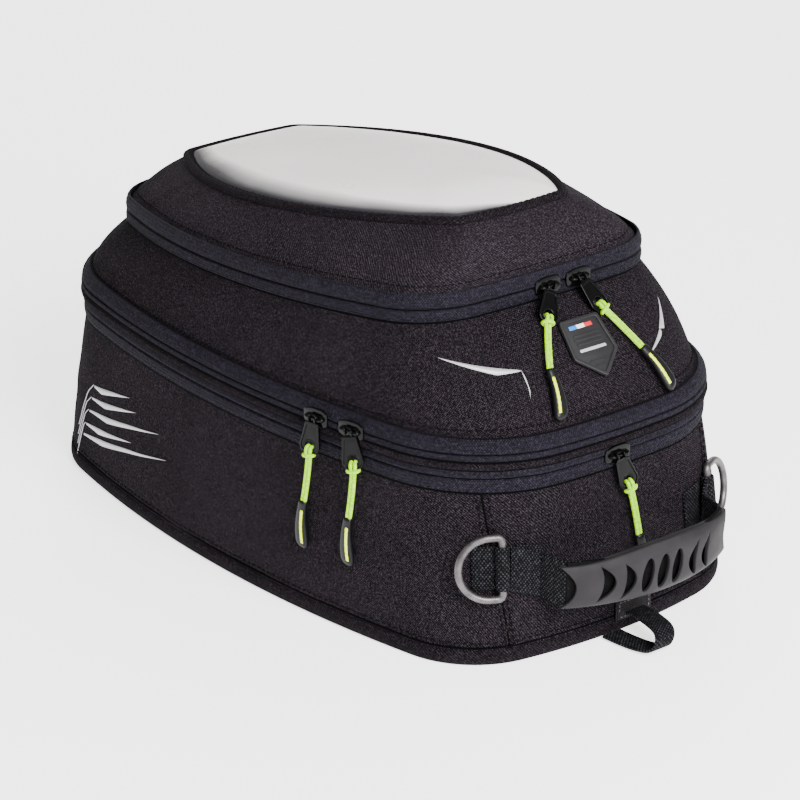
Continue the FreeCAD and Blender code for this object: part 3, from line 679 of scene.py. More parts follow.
def clear_film():
    """Clear vinyl over a pale pocket: milky, a little wavy, and painted shade where its near edge curves down,
    darker towards that edge on the near side only.
    """
    shade = Shade("film", (0.62, 0.61, 0.60), 0.3, Specular_IOR_Level=0.05)
    depth = shade.uv()[1]
    side = shade.node("SeparateXYZ", Vector=shade.place()).outputs["Y"]
    near = shade.times(shade.minus(0.012, side), 16.0)
    near = shade.math("MINIMUM", shade.math("MAXIMUM", near, 0.0), 1.0)
    reach = shade.plus(shade.times(near, 0.027), 0.0006)
    wavy = shade.times(shade.minus(shade.noise(26.0), 0.5), 0.006)
    share = shade.math("DIVIDE", shade.plus(depth, wavy), reach)
    # painted shade: clear falls to 0 at the near side's edge, where the colour turns near-black
    clear = shade.ramp(share, (0.2, (0, 0, 0)), (0.45, (0.3, 0.3, 0.3)), (0.8, (1, 1, 1)))
    milky = shade.ramp(shade.noise(14.0, 3.0), (0.3, (0.72, 0.69, 0.665)), (0.7, (0.82, 0.79, 0.765)))
    shade.colour(shade.mix(clear, (0.02, 0.018, 0.022), milky))
    shade.rough(shade.noise(30.0, 3.0), 0.22, 0.36)
    shade.bump(shade.noise(22.0, 2.0), 0.35, 0.001)
    return shade.material


def mesh_cloth(name, colour):
    """Open grey mesh: crossing cords with dark holes between them."""
    shade = Shade(name, colour, 0.7, Specular_IOR_Level=0.06)
    u, v = shade.uv()
    net = shade.math("MAXIMUM", shade.wave(u, 0.0011), shade.wave(v, 0.0011))
    shade.colour(shade.ramp(net, (0.1, scaled(colour, 0.25)), (0.75, colour), (1.0, scaled(colour, 1.5))))
    shade.rough(shade.noise(200.0, 2.0), 0.55, 0.85)
    shade.bump(net, 0.7, 0.0003)
    return shade.material


CLOTH = (0.0086, 0.0069, 0.0086)
TAPE_COLOUR = (0.0066, 0.0056, 0.0090)
NEON = (0.40, 0.82, 0.0)
MATERIALS = {
    "cloth": woven("body_cloth", CLOTH, 0.0015, contrast=1.15),
    # the body's own cloth made 1.6 times lighter: painted light on the top faces
    "cover": woven("cover_cloth_painted_lighter", scaled(CLOTH, 1.6), 0.0015, contrast=0.9),
    "gusset": woven("gusset_cloth", scaled(CLOTH, 0.8), 0.0016, contrast=0.7, roughness=0.8),
    "lining": woven("lining_cloth", (0.040, 0.042, 0.047), 0.0014, depth=0.0001, contrast=0.5, roughness=0.7),
    "tape": ribbed("zip_tape", TAPE_COLOUR, 0.0019, 0.0014),
    # lift=20.0 gives the webbing's threads a strong painted highlight
    "webbing": ribbed("webbing", (0.0026, 0.0026, 0.0031), 0.0024, 0.0018, depth=0.0009, lift=20.0,
                      grain=0.6),
    "piping": woven("piping_cloth", scaled(CLOTH, 0.85), 0.0018, contrast=0.8),
    "coil": moulded("coil_nylon", (0.006, 0.006, 0.008), 0.5, Specular_IOR_Level=0.2),
    "thread": woven("thread", (0.0030, 0.0027, 0.0032), 0.0008, depth=0.0001, contrast=0.5),
    "grey_thread": woven("grey_thread", (0.085, 0.080, 0.085), 0.0008, depth=0.0001, contrast=0.5),
    "rubber_sheet": moulded("rubber_sheet", (0.012, 0.012, 0.013), 0.75, grain=600.0, depth=0.0004),
    "board": moulded("board", (0.03, 0.03, 0.032), 0.8),
    "film": clear_film(),
    # near-black cord material: painted shadow in grooves and under overhanging edges
    "shadow": woven("painted_shadow_cord", (0.0010, 0.0010, 0.0012), 0.0012, depth=0.0001, contrast=0.5),
    "badge": moulded("badge_rubber", (0.0080, 0.0075, 0.0085), 0.5, Specular_IOR_Level=0.3),
    "grip": moulded("grip_rubber", (0.0138, 0.0125, 0.0140), 0.62, grain=700.0, depth=0.00015,
                    Specular_IOR_Level=0.14),
    "pod": moulded("pod_rubber", (0.0022, 0.0022, 0.0028), 0.42, Specular_IOR_Level=0.2),
    # the emission is painted glow: the cord and the inlay glow though no lamp is in them, to lift their yellow
    "neon": ribbed("neon_cord", NEON, 0.0012, 0.0014, depth=0.0002, roughness=0.6, lift=1.15, grain=0.4,
                   Emission_Color=(*NEON, 1.0), Emission_Strength=0.32),
    "inlay": moulded("neon_inlay", (0.66, 0.80, 0.0), 0.45, patchy=0.05,
                     Emission_Color=(0.66, 0.85, 0.0, 1.0), Emission_Strength=0.35),
    "ring": metal("ring_metal", (0.075, 0.068, 0.072), 0.42, (0.14, 0.13, 0.135)),
    "slider": moulded("slider_enamel", (0.0012, 0.0012, 0.0014), 0.14, grain=300.0, Specular_IOR_Level=0.12),
    "tab": mesh_cloth("tab_grey", (0.0130, 0.0118, 0.0130)),
    "print": moulded("silver_print", (0.42, 0.41, 0.42), 0.42, grain=2600.0, patchy=0.06, Metallic=0.25),
    "blue": moulded("bar_blue", (0.01, 0.16, 0.48), 0.4, patchy=0.05),
    "white": moulded("bar_white", (0.75, 0.75, 0.75), 0.4, patchy=0.05),
    "red": moulded("bar_red", (0.50, 0.01, 0.015), 0.4, patchy=0.05),
    "floor": Shade("floor", (0.95, 0.95, 0.95), 0.7, Emission_Color=(1, 1, 1, 1),
                   Emission_Strength=1.8).material,
}


# ---------------------------------------------------------------- camera, light and floor
def add_camera():
    """A view from the handle end and the near side, with a long lens."""
    azimuth, elevation = math.radians(52.91), math.radians(24.0)
    aim, distance = Vector((14.2, -6.5, 70.2)) * MM, 1.666
    back = Vector((math.sin(azimuth) * math.cos(elevation), -math.cos(azimuth) * math.cos(elevation),
                   math.sin(elevation)))
    data = bpy.data.cameras.new("camera")
    data.lens = 134.76
    data.sensor_width = 36.0
    data.clip_start, data.clip_end = 0.05, 50.0
    camera = bpy.data.objects.new("camera", data)
    camera.location = aim + back * distance
    camera.rotation_euler = (-back).to_track_quat("-Z", "Y").to_euler()
    bpy.context.collection.objects.link(camera)
    bpy.context.scene.camera = camera


def add_light(name, place, aim, size, power):
    """A rectangular light. Its place, aim and size are in metres, and its power in watts."""
    data = bpy.data.lights.new(name, "AREA")
    data.shape = "RECTANGLE"
    data.size, data.size_y = size
    data.energy = power
    light = bpy.data.objects.new(name, data)
    light.location = place
    light.rotation_euler = (Vector(aim) - Vector(place)).to_track_quat("-Z", "Y").to_euler()
    bpy.context.collection.objects.link(light)


def add_studio():
    world = bpy.data.worlds.new("studio")
    world.use_nodes = True
    background = world.node_tree.nodes["Background"].inputs
    background["Color"].default_value = (1, 1, 1, 1)
    background["Strength"].default_value = 0.7
    bpy.context.scene.world = world
    add_light("key", (1.5, -0.2, 1.1), (0, 0, 0.1), (0.9, 0.9), 84)
    add_light("side", (-0.2, -1.6, 0.9), (0, 0, 0.1), (1.2, 0.8), 1)
    add_light("back", (-1.5, 1.1, 1.3), (0, 0, 0.2), (1.6, 1.0), 36)
    size = 12.0
    corners = [[Vector((x, y, 0)) / MM for x in (-size, size)] for y in (-size, size)]
    grid("floor", corners, "floor", closed=False)


add_camera()


def place(piece, body, slot_name, *nodes):
    """Puts a finished piece on its body and hides the CAD nodes that it shows. Its material slot is not used.
    """
    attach(piece, body)
    if nodes:
        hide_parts(*nodes)
    return piece


# ---------------------------------------------------------------- pulls and their cords
class Frame:
    """Axes at a slider, as in the CAD: t along the zip, u the way the pull hangs, n out of the bag."""

    def __init__(self, origin, out, down):
        self.origin = origin
        self.n = out.normalized()
        self.u = (down - self.n * down.dot(self.n)).normalized()
        self.t = self.u.cross(self.n)

    def at(self, t, u, n):
        return self.origin + self.t * t + self.u * u + self.n * n

    def matrix(self):
        """From (t, u, n) to the bag's frame."""
        m = Matrix((self.t, self.u, self.n)).transposed().to_4x4()
        m.translation = self.origin
        return m


def side_frame(x):
    outline = RIM.grown(-MAIN_INSET)
    px, py, nx, ny = outline.at(outline.side_c(x))
    return Frame(Vector((px, py, MAIN_LINE)), Vector((nx, ny, 0)), Vector((0, 0, -1)))


def upper_frame(y):
    px, py, nx, ny = TOP.at(TOP.front_c(y))
    out = Vector((nx * math.cos(TOP_TILT), ny, nx * math.sin(TOP_TILT)))
    down = Vector((math.sin(TOP_TILT), 0, -math.cos(TOP_TILT)))
    return Frame(placed(px, py, UPPER_LINE, TOP_TILT), out, down)


def expansion_frame(y):
    outline = RIM.grown(-EXPANSION_INSET)
    px, py, nx, ny = outline.at(outline.front_c(y))
    return Frame(Vector((px, py, EXPANSION_LINE)), Vector((nx, ny, 0)), Vector((0, 0, -1)))


def lid_front(share, y, standoff):
    """A point off the lid's sloping front, and the normal there, on the CAD's plain wall."""
    def on_face(s):
        outline, z, tilt = lid_level(s)
        return placed(outline.front_x(y), y, z, tilt)

    rise = on_face(share + 0.01) - on_face(share - 0.01)
    normal = Vector((0, 1, 0)).cross(rise).normalized()
    return on_face(share) + normal * standoff, normal


FRAMES = {"main_left": side_frame(83.5), "main_right": side_frame(107.4), "upper_left": upper_frame(-2.3),
          "upper_right": upper_frame(18.1), "expansion": expansion_frame(0.5)}
TWISTS = {"main_left": -14, "main_right": -26, "expansion": 12, "upper_left": 0, "upper_right": 0}


def straight_route(frame_at, tilt, tab_lean, lean):
    """Direction of the tab, the cord's points and the pod's tip, for a pull that hangs almost straight."""
    tab = (frame_at.u + frame_at.n * tilt + frame_at.t * math.tan(math.radians(tab_lean))).normalized()
    hole = frame_at.at(0, 0, BRIDGE_N) + tab * (PULLER_LENGTH - CORD_FROM_END)
    drop = (frame_at.u + frame_at.n * tilt + frame_at.t * math.tan(math.radians(lean))).normalized()
    side = frame_at.n.cross(drop).normalized()
    points = [hole + frame_at.n * 0.2, hole + drop * CORD_RUN + side * 0.9, hole + drop * 2 * CORD_RUN]
    return tab, points, points[-1] + drop * POD_LENGTH, frame_at.n


def front_route(frame_at, hole_at, mid_at, end_at, tip_at):
    """The same for a pull that lies on the lid's sloping front. Each place is (share, y, standoff)."""
    pivot = frame_at.at(0, 0, BRIDGE_N)
    tab = (lid_front(*hole_at)[0] - pivot).normalized()
    hole = pivot + tab * (PULLER_LENGTH - CORD_FROM_END)
    middle = hole + (lid_front(*mid_at)[0] - hole).normalized() * CORD_RUN
    end = middle + (lid_front(*end_at)[0] - middle).normalized() * CORD_RUN
    tip, normal = lid_front(*tip_at)
    return tab, [hole, middle, end], tip, normal


ROUTES = {
    "main_left": straight_route(FRAMES["main_left"], 0.05, 6, 6.5),
    "main_right": straight_route(FRAMES["main_right"], 0.05, -14, 5),
    "expansion": straight_route(FRAMES["expansion"], 0.085, -18, -11),
    "upper_left": front_route(FRAMES["upper_left"], (0.78, -12.5, 3.0), (0.60, -21.4, 3.4),
                              (0.41, -27.6, 4.8), (0.03, -29.0, 6.6)),
    "upper_right": front_route(FRAMES["upper_right"], (0.80, 24.0, 3.0), (0.60, 29.8, 3.4),
                               (0.43, 33.6, 4.6), (0.10, 43.5, 6.2)),
}


def spline_points(points):
    """Points read from the order-3 NURBS spline with these control points."""
    curve = bpy.data.curves.new("route", "CURVE")
    curve.dimensions = "3D"
    spline = curve.splines.new("NURBS")
    spline.points.add(len(points) - 1)
    for target, point in zip(spline.points, points):
        target.co = (*(point * MM), 1)
    spline.order_u = 3
    spline.use_endpoint_u = True
    spline.resolution_u = 12
    holder = bpy.data.objects.new("route", curve)
    mesh = bpy.data.meshes.new_from_object(holder)
    found = [v.co / MM for v in mesh.vertices]
    bpy.data.objects.remove(holder)
    bpy.data.curves.remove(curve)
    bpy.data.meshes.remove(mesh)
    return found


def flat_part(name, loops, thickness, bevel, matrix, material):
    """A flat plate with rounded edges, from closed 2D loops in millimetres. Inner loops are holes."""
    curve = bpy.data.curves.new(name, "CURVE")
    curve.dimensions = "2D"
    curve.fill_mode = "BOTH"
    curve.extrude = (thickness / 2 - bevel) * MM
    curve.bevel_depth = bevel * MM
    curve.bevel_resolution = 2
    curve.offset = -bevel * MM
    for loop in loops:
        spline = curve.splines.new("POLY")
        spline.points.add(len(loop) - 1)
        for target, (a, b) in zip(spline.points, loop):
            target.co = (a * MM, b * MM, 0, 1)
        spline.use_cyclic_u = True
    holder = bpy.data.objects.new("plate", curve)
    mesh = bpy.data.meshes.new_from_object(holder)
    bpy.data.objects.remove(holder)
    bpy.data.curves.remove(curve)
    with editing(mesh) as work:
        bmesh.ops.remove_doubles(work, verts=work.verts, dist=0.00002)
    metres = matrix.copy()
    metres.translation = metres.translation * MM
    mesh.transform(metres)
    mesh.materials.clear()
    mesh.materials.append(MATERIALS[material])
    piece = bpy.data.objects.new(name, mesh)
    bpy.context.collection.objects.link(piece)
    return smooth_by_angle(piece, 35)


def smooth_by_angle(piece, degrees):
    """Smooth shading that keeps edges sharper than this angle crisp."""
    mesh = piece.data
    mesh.polygons.foreach_set("use_smooth", [True] * len(mesh.polygons))
    mesh.set_sharp_from_angle(angle=math.radians(degrees))
    return piece


def circle(x, y, radius, steps, squash=1.0):
    return [(x + radius * squash * math.cos(a), y + radius * math.sin(a)) for a in turns(steps)]


def rounded(corners, radius):
    """A polygon with every corner rounded."""
    steps = 5
    loop = []
    for before, here, after in zip(corners[-1:] + corners[:-1], corners, corners[1:] + corners[:1]):
        p, a, b = Vector(here), Vector(before), Vector(after)
        reach = min(radius, (a - p).length * 0.45, (b - p).length * 0.45)
        start, end = p + (a - p).normalized() * reach, p + (b - p).normalized() * reach
        for k in range(steps + 1):
            t = k / steps
            q = start * (1 - t) ** 2 + p * (2 * t * (1 - t)) + end * t * t
            loop.append((q.x, q.y))
    return loop


def make_slider(name, at):
    """Enamelled slider: a waisted top plate, two cheeks, and the bridge that holds the puller."""
    matrix = at.matrix()
    outline = rounded([(-8.2, -3.3), (-5.0, -4.9), (2.4, -4.9), (8.4, -3.4), (8.4, 3.4), (2.4, 4.9),
                       (-5.0, 4.9), (-8.2, 3.3)], 1.7)
    top = flat_part("plate", [outline], 1.3, 0.45, matrix @ Matrix.Translation((0, 0, 1.05)), "slider")
    crown = rounded([(-5.4, -1.9), (5.6, -1.9), (5.6, 1.9), (-5.4, 1.9)], 1.7)
    raised = flat_part("crown", [crown], 0.8, 0.3, matrix @ Matrix.Translation((0, 0, 1.75)), "slider")
    half_arch = [(5.4, 1.2), (5.9, 2.2), (5.3, 3.3), (4.2, 3.75), (2.6, BRIDGE_N + 0.1)]
    arch = [at.at(-t, 0, n) for t, n in half_arch] + [at.at(0, 0, BRIDGE_N)]
    arch += [at.at(t, 0, n) for t, n in half_arch[::-1]]
    bridge = tube("bridge", arch, 0.85, "slider", sides=12)
    cheeks = []
    for t in (-4.9, 4.9):
        loop = rounded([(-1.7, 0.9), (1.7, 0.9), (1.3, 3.0), (0, 4.2), (-1.3, 3.0)], 0.9)
        upright = Matrix((at.u, at.n, at.t)).transposed().to_4x4()
        upright.translation = at.at(t, 0, 0)
        cheeks.append(flat_part("cheek", [loop], 1.5, 0.4, upright, "slider"))
    return joined("slider_" + name + "_body", [top, raised, bridge] + cheeks)


def hang_frame(name, at, tab):
    """Axes of a puller's tab, turned a little about its own length so that its face shows."""
    twist = math.radians(TWISTS[name])
    out = at.t.cross(tab).normalized() * math.cos(twist) + at.t * math.sin(twist)
    return Frame(at.at(0, 0, BRIDGE_N), out - tab * out.dot(tab), tab)


def make_puller(name, at, tab):
    """Tab with a raised rim and a hole for the cord, and the eye that turns on the bridge."""
    pivot = at.at(0, 0, BRIDGE_N)
    hang = hang_frame(name, at, tab)
    matrix = hang.matrix()
    hole = circle(0, PULLER_LENGTH - HOLE_FROM_END, 2.9, 24)
    end = PULLER_LENGTH

    def trapezoid(inset):
        return [(-3.8 + inset, 2.0 + 2.2 * inset), (3.8 - inset, 2.0 + 2.2 * inset), (6.0 - inset, end - 3.4),
                (4.2 - inset, end - inset), (-4.2 + inset, end - inset), (-6.0 + inset, end - 3.4)]

    rim = flat_part("rim", [rounded(trapezoid(0.0), 1.4), rounded(trapezoid(1.0), 1.0)], 1.9, 0.4, matrix,
                    "slider")
    web = flat_part("web", [rounded(trapezoid(0.5), 1.2), hole], 0.9, 0.2, matrix, "slider")
    eyelet = [hang.at(3.1 * math.cos(a), end - HOLE_FROM_END + 3.1 * math.sin(a), 0) for a in turns(24)]
    lip = tube("lip", eyelet, 0.6, "slider", sides=8, closed=True)
    loops = []
    eye_r = 1.75
    for t in (-2.3, 2.3):
        ring = [pivot + at.t * t + hang.u * (eye_r * math.cos(a)) + hang.n * (eye_r * math.sin(a))
                for a in turns(20)]
        loops.append(tube("eye", ring, 0.62, "slider", sides=8, closed=True))
    bar = [pivot + at.t * t - hang.u * eye_r for t in (-2.6, -1.2, 0, 1.2, 2.6)]
    cross = tube("cross", bar, 0.6, "slider")
    return joined("puller_" + name + "_tab", [rim, web, lip, cross] + loops)


def make_knot(name, at, tab, points):
    """The cord's bight through the hole, drawn tight round both strands below the tab."""
    hang = hang_frame(name, at, tab)
    drop = (points[1] - points[0]).normalized()
    across = drop.cross(hang.n).normalized()
    out = across.cross(drop).normalized()
    if out.dot(hang.n) < 0:
        out = -out
    hole_u = PULLER_LENGTH - HOLE_FROM_END
    collar_at = points[0] + drop * 3.1
    strands = []
    for side in (-1.0, 1.0):
        s = side * STRAND_STEP / 2
        bight = [(1.3, 2.9, 1.9), (1.2, 1.2, 1.7), (1.1, 0.35, 0.2), (1.2, 1.2, -1.6), (1.3, 2.9, -1.9)]
        path = [collar_at + across * s + out * 1.2]
        path += [hang.at(side * t, hole_u + u, n) for t, u, n in bight]
        path.append(collar_at + across * s - out * 1.0)
        strands.append(tube("loop", spline_points(path), CORD_R * 0.92, "neon", sides=10))
    ring = [collar_at + across * (3.0 * math.cos(a)) + out * (2.2 * math.sin(a) + 0.2)
            + drop * (0.5 * math.cos(a)) for a in turns(28)]
    collar = tube("collar", ring, CORD_R * 0.95, "neon", sides=10, closed=True)
    return joined("pull_knot_" + name, strands + [collar])


def make_cord(name, points, out):
    """The two strands of a pull, as one flat cord along the route's spline."""
    centre = spline_points(points)
    across = (points[1] - points[0]).normalized().cross(out).normalized()
    strands = [tube("strand", [p + across * shift for p in centre], CORD_R, "neon", sides=12)
               for shift in (-STRAND_STEP / 2, STRAND_STEP / 2)]
    piece = joined("pull_cord_" + name + "_pair", strands)
    place(piece, "pull_" + name, "cord_yellow", "pull_cord_" + name)


def pod_bend(bend, s):
    """How far the pod has curved sideways at share s of its length."""
    return bend * (2.6 * s ** 2.2 - 0.9 * math.sin(math.pi * s))


def squared(value):
    """A sine or cosine drawn towards its ends, which turns a circle into a rounded square."""
    return math.copysign(abs(value) ** 0.75, value)


def make_pod(name, top, tip, out, bend, inlay_from):
    """Rubber pod: slim where the cord enters, wide and rounded at its tip, with a plain inlay."""
    along = (tip - top).normalized()
    at = Frame(top, out, along)
    rings, sides = 22, 20
    rows = []
    for r in range(rings + 1):
        s = r / rings
        u = -0.6 + s * (POD_LENGTH + 0.6)
        body = 2.7 + 1.4 * smooth(0.1, 0.8, s)
        cap = math.sqrt(max(1 - max((s - 0.84) / 0.16, 0.0) ** 2, 0.0)) if s > 0.84 else 1.0
        start = 0.82 + 0.18 * smooth(0.0, 0.06, s)
        half, thick = body * max(cap, 0.04) * start, (2.0 + 0.25 * s) * max(cap, 0.06) * start
        side = pod_bend(bend, s)
        rows.append([at.at(side + half * squared(math.cos(a)), u, thick * squared(math.sin(a)))
                     for a in turns(sides)])
    body = grid("pod", rows, "pod")
    close_ends(body, sides, rings + 1)

    def strip(i, j, height):
        u = inlay_from + j * (POD_LENGTH - 4.0 - inlay_from)
        s = u / POD_LENGTH
        t = pod_bend(bend, s) + (1.3 + 0.5 * s + 2 * (i - 0.5) * (0.85 + 0.12 * math.sin(u * 2.6))) * bend
        return at.at(t, u, 1.96 + 0.25 * s + height)

    inlay = slab("inlay", strip, 3, 14, 0.35, "inlay")
    edge_path = [at.at(pod_bend(bend, u / POD_LENGTH) - bend * (2.0 + 1.2 * smooth(3, 20, u)), u, 1.5)
                 for u in (2, 6, 10, 14, 18, 21, 23)]
    edge = tube("edge", edge_path, 0.28, "pod", sides=6)
    return joined("pull_pod_" + name + "_body", [body, inlay, edge])


def close_ends(piece, sides, rings):
    """Fills both ends of a lofted mesh."""
    with editing(piece.data) as work:
        work.verts.ensure_lookup_table()
        work.faces.new([work.verts[k] for k in range(sides)])
        work.faces.new([work.verts[(rings - 1) * sides + k] for k in range(sides)][::-1])


def add_pulls():
    """Five pulls. The expansion pull's pod lies behind the grip, and its inlay starts lower."""
    for name, at in FRAMES.items():
        tab, points, tip, out = ROUTES[name]
        pull = "pull_" + name
        place(make_slider(name, at), "slider_" + name, "slider_metal", "slider_" + name)
        place(make_puller(name, at, tab), pull, "slider_metal", "puller_" + name)
        knot = place(make_knot(name, at, tab, points), pull, "cord_yellow")
        bend = -1 if name.startswith("main") else 1
        pod = make_pod(name, points[-1], tip, out, bend, 9.0 if name == "expansion" else 4.2)
        place(pod, pull, "pod_rubber", "pull_pod_" + name)
        make_cord(name, points, out)


add_pulls()
add_studio()


# ---------------------------------------------------------------- walls of cloth
def add_walls():
    place(wall("tub_wall", TUB, 0.01, 0.99, FABRIC, "cloth", 34), "base", "body_cloth", "tub_shell")
    place(wall("lid_wall", LID, 0.0, 1.0, FABRIC, "cloth", 26), "lid", "body_cloth", "lid_shell")
    place(wall("cover_wall", COVER, 0.0, 1.0, FABRIC, "cover", 20), "top_cover", "body_cloth", "top_shell")
    hem = [(-5.6, 0.7), (-2.6, 0.1), (-0.9, 0.5), (-0.1, 2.0), (0.25, 4.2), (0.1, 6.6), (-0.5, 8.4),
           (-1.3, 9.0), (-2.3, 8.6), (-3.4, 6.0)]
    place(band("bottom_hem", [(BASE, z, 0.0, out) for out, z in hem], "piping"),
          "base", "piping", "base_piping")
    place(seam_round("hem_stitches", TUB, tub_share(HEM_STITCHES), "thread", radius=0.4), "base", "body_cloth")


def coil_teeth(name, outline, z, tilt, side, material):
    """Coil teeth behind a tape. The row goes round the bag in laps that fill each other's gaps."""
    laps, steps = 10, 200
    spots, length = [], 0.0
    previous = None
    for k in range(laps * steps + 1):
        x, y, nx, ny = outline.at(k / steps * 10)
        point = Vector((x, y))
        if previous is not None:
            length += (point - previous).length
        previous = point
        spots.append((length, x, y, nx, ny))
    pitch, depth, half_tooth = 1.9, 1.5, 0.55
    vertices, faces = [], []
    k = 0
    for n in range(int(length / pitch)):
        reach = n * pitch
        while spots[k + 1][0] < reach:
            k += 1
        _, x, y, nx, ny = spots[k]
        along = Vector((-ny, nx))
        start = len(vertices)
        for out, rise in ((0.0, 0.0), (0.0, depth), (-depth, depth), (-depth, 0.0)):
            for shift in (-half_tooth, half_tooth):
                px = x + nx * out + along.x * shift
                py = y + ny * out + along.y * shift
                vertices.append(placed(px, py, z - side * rise, tilt) * MM)
        for q in range(4):
            a, b = start + 2 * q, start + 2 * ((q + 1) % 4)
            faces.append((a, b, b + 1, a + 1))
        faces.append((start, start + 6, start + 4, start + 2))
        faces.append((start + 1, start + 3, start + 5, start + 7))
    return make_object(name, vertices, faces, material)


def tape(name, outline, line, edge, tilt, tuck, bulge):
    """A zip tape between its stitched edge and the zip's line, gently arched, with its coil behind it."""
    side = 1 if line > edge else -1
    end = line - side * GAP
    rows = 18
    outer, inner = [], []
    for i in range(rows + 1):
        share = i / rows
        z = edge + (end - edge) * share
        ribs = 0.3 * abs(math.sin(math.pi * share * 4)) * smooth(0, 0.15, share)
        out = -tuck * (1 - share) + bulge * math.sin(math.pi * share) + ribs - 0.5 * hump(share - 1, 0.08)
        outer.append((outline, z, tilt, out))
        inner.append((outline, z, tilt, out - TAPE))
    ring = band("tape", outer + inner[::-1], "tape")
    teeth = coil_teeth("teeth", outline.grown(-TAPE - 0.2), end, tilt, side, "coil")
    return joined(name, [ring, teeth])


def bead_ring(name, outline, z, radius, tilt, material):
    """Round piping along an outline, whose outermost line is the outline."""
    centre = outline.grown(-radius)
    section = [(centre, z + radius * math.sin(a), tilt, radius * math.cos(a)) for a in turns(12)]
    return band(name, section, material)


def stitched_ring(name, outline, z, tilt, out, **sizes):
    """A row of stitches all round an outline."""
    spots = []
    for c in COLUMNS + COLUMNS[:1]:
        _, _, nx, ny = outline.at(c)
        spots.append((outline.point(c, z, tilt, out), placed(nx, ny, 0, tilt).normalized()))
    return stitches(name, spots, "thread", **sizes)


def add_painted_shadow_cords():
    """Near-black cords of painted shadow in the grooves beside the tapes and the bead, above the hem and round
    the window.
    """
    cords = (("upper", TOP.grown(-0.1), UPPER_TAPE_BOTTOM - 0.5, TOP_TILT, 1.0, "lid"),
             ("over_bead", RIM.grown(-0.7), BEAD_Z + BEAD_R + 0.2, 0.0, 0.75, "rim"),
             ("under_bead", RIM.grown(-1.3), BEAD_Z - BEAD_R + 0.1, 0.0, 0.7, "rim"),
             ("tub_top", RIM.grown(-EXPANSION_INSET), TAPE_SEAM + 0.1, 0.0, 0.75, "base"),
             ("hem", BASE.grown(-0.4), HEM_TOP, 0.0, 0.6, "base"),
             ("window", WINDOW.grown(1.5), WINDOW_Z - 1.2, WINDOW_TILT, 0.8, "top_cover"))
    for name, outline, z, tilt, radius, body in cords:
        place(bead_ring("painted_shadow_cord_" + name, outline, z, radius, tilt, "shadow"), body, "piping")


def add_panel_seams():
    """The tub's front corner seams: a near-black cord along the pressed ridge, painted shadow in the seam's
    groove, with a row of stitches on each side.
    """
    for side, name in ((0, "near"), (1, "far")):
        parts = []
        for shift, radius in ((0.0, 0.55), (-2.6, 0.0), (2.9, 0.0)):
            spots = []
            for k in range(61):
                v = 0.03 + 0.94 * k / 60
                c = seam_c(v) + shift / SEAM_MM
                c = 10 - c if side else c
                spots.append((TUB.above(c, v, 0.1), TUB.normal(c, v)))
            if radius:
                # the near-black cord is painted shadow along the seam's groove
                parts.append(tube("seam", [point for point, _ in spots], radius, "shadow", sides=8))
            else:
                parts.append(stitches("thread", spots, "thread", 2.6, 4.0, 0.5))
        place(joined("panel_seam_" + name, parts), "base", "body_cloth")


def add_zips():
    """Three zips: their tapes with the coils, the bead between them, and the stitches beside them."""
    expansion, main = RIM.grown(-EXPANSION_INSET), RIM.grown(-MAIN_INSET)
    under_bead, over_bead = BEAD_Z - BEAD_R - 0.1, BEAD_Z + BEAD_R + 0.1
    for zip_name, half, body, outline, line, edge, tilt, tuck, bulge in (
            ("expansion", "lower", "base", expansion, EXPANSION_LINE, TAPE_SEAM, 0.0, 0.5, 0.5),
            ("expansion", "upper", "rim", expansion, EXPANSION_LINE, under_bead, 0.0, 0.0, 0.5),
            ("main", "lower", "rim", main, MAIN_LINE, over_bead, 0.0, 0.6, 0.5),
            ("main", "upper", "lid", main, MAIN_LINE, MAIN_TAPE_TOP, 0.0, 4.0, 1.0),
            ("upper", "lower", "lid", TOP, UPPER_LINE, UPPER_TAPE_BOTTOM, TOP_TILT, 0.0, 0.5),
            ("upper", "upper", "top_cover", TOP, UPPER_LINE, UPPER_TAPE_TOP, TOP_TILT, 1.0, 0.8)):
        piece = tape(zip_name + "_tape_" + half, outline, line, edge, tilt, tuck, bulge)
        place(piece, body, "zip_tape", zip_name + "_zip_" + half)
    place(bead_ring("rim_bead", RIM, BEAD_Z, BEAD_R, 0.0, "piping"), "rim", "piping", "rim_piping")
    add_painted_shadow_cords()
    for name, outline, z, tilt, out, body in (
            ("expansion_stitches", expansion, TAPE_SEAM + 1.3, 0.0, -0.2, "base"),
            ("main_stitches_low", main, over_bead + 1.2, 0.0, -0.1, "rim"),
            ("upper_stitches_low", TOP, UPPER_TAPE_BOTTOM + 1.2, TOP_TILT, 0.2, "lid")):
        place(stitched_ring(name, outline, z, tilt, out), body, "zip_tape")
    place(seam_round("lid_stitches", LID, 0.10, "thread", radius=0.42), "lid", "body_cloth")
    place(seam_round("cover_stitches", COVER, 0.17, "thread"), "top_cover", "body_cloth")


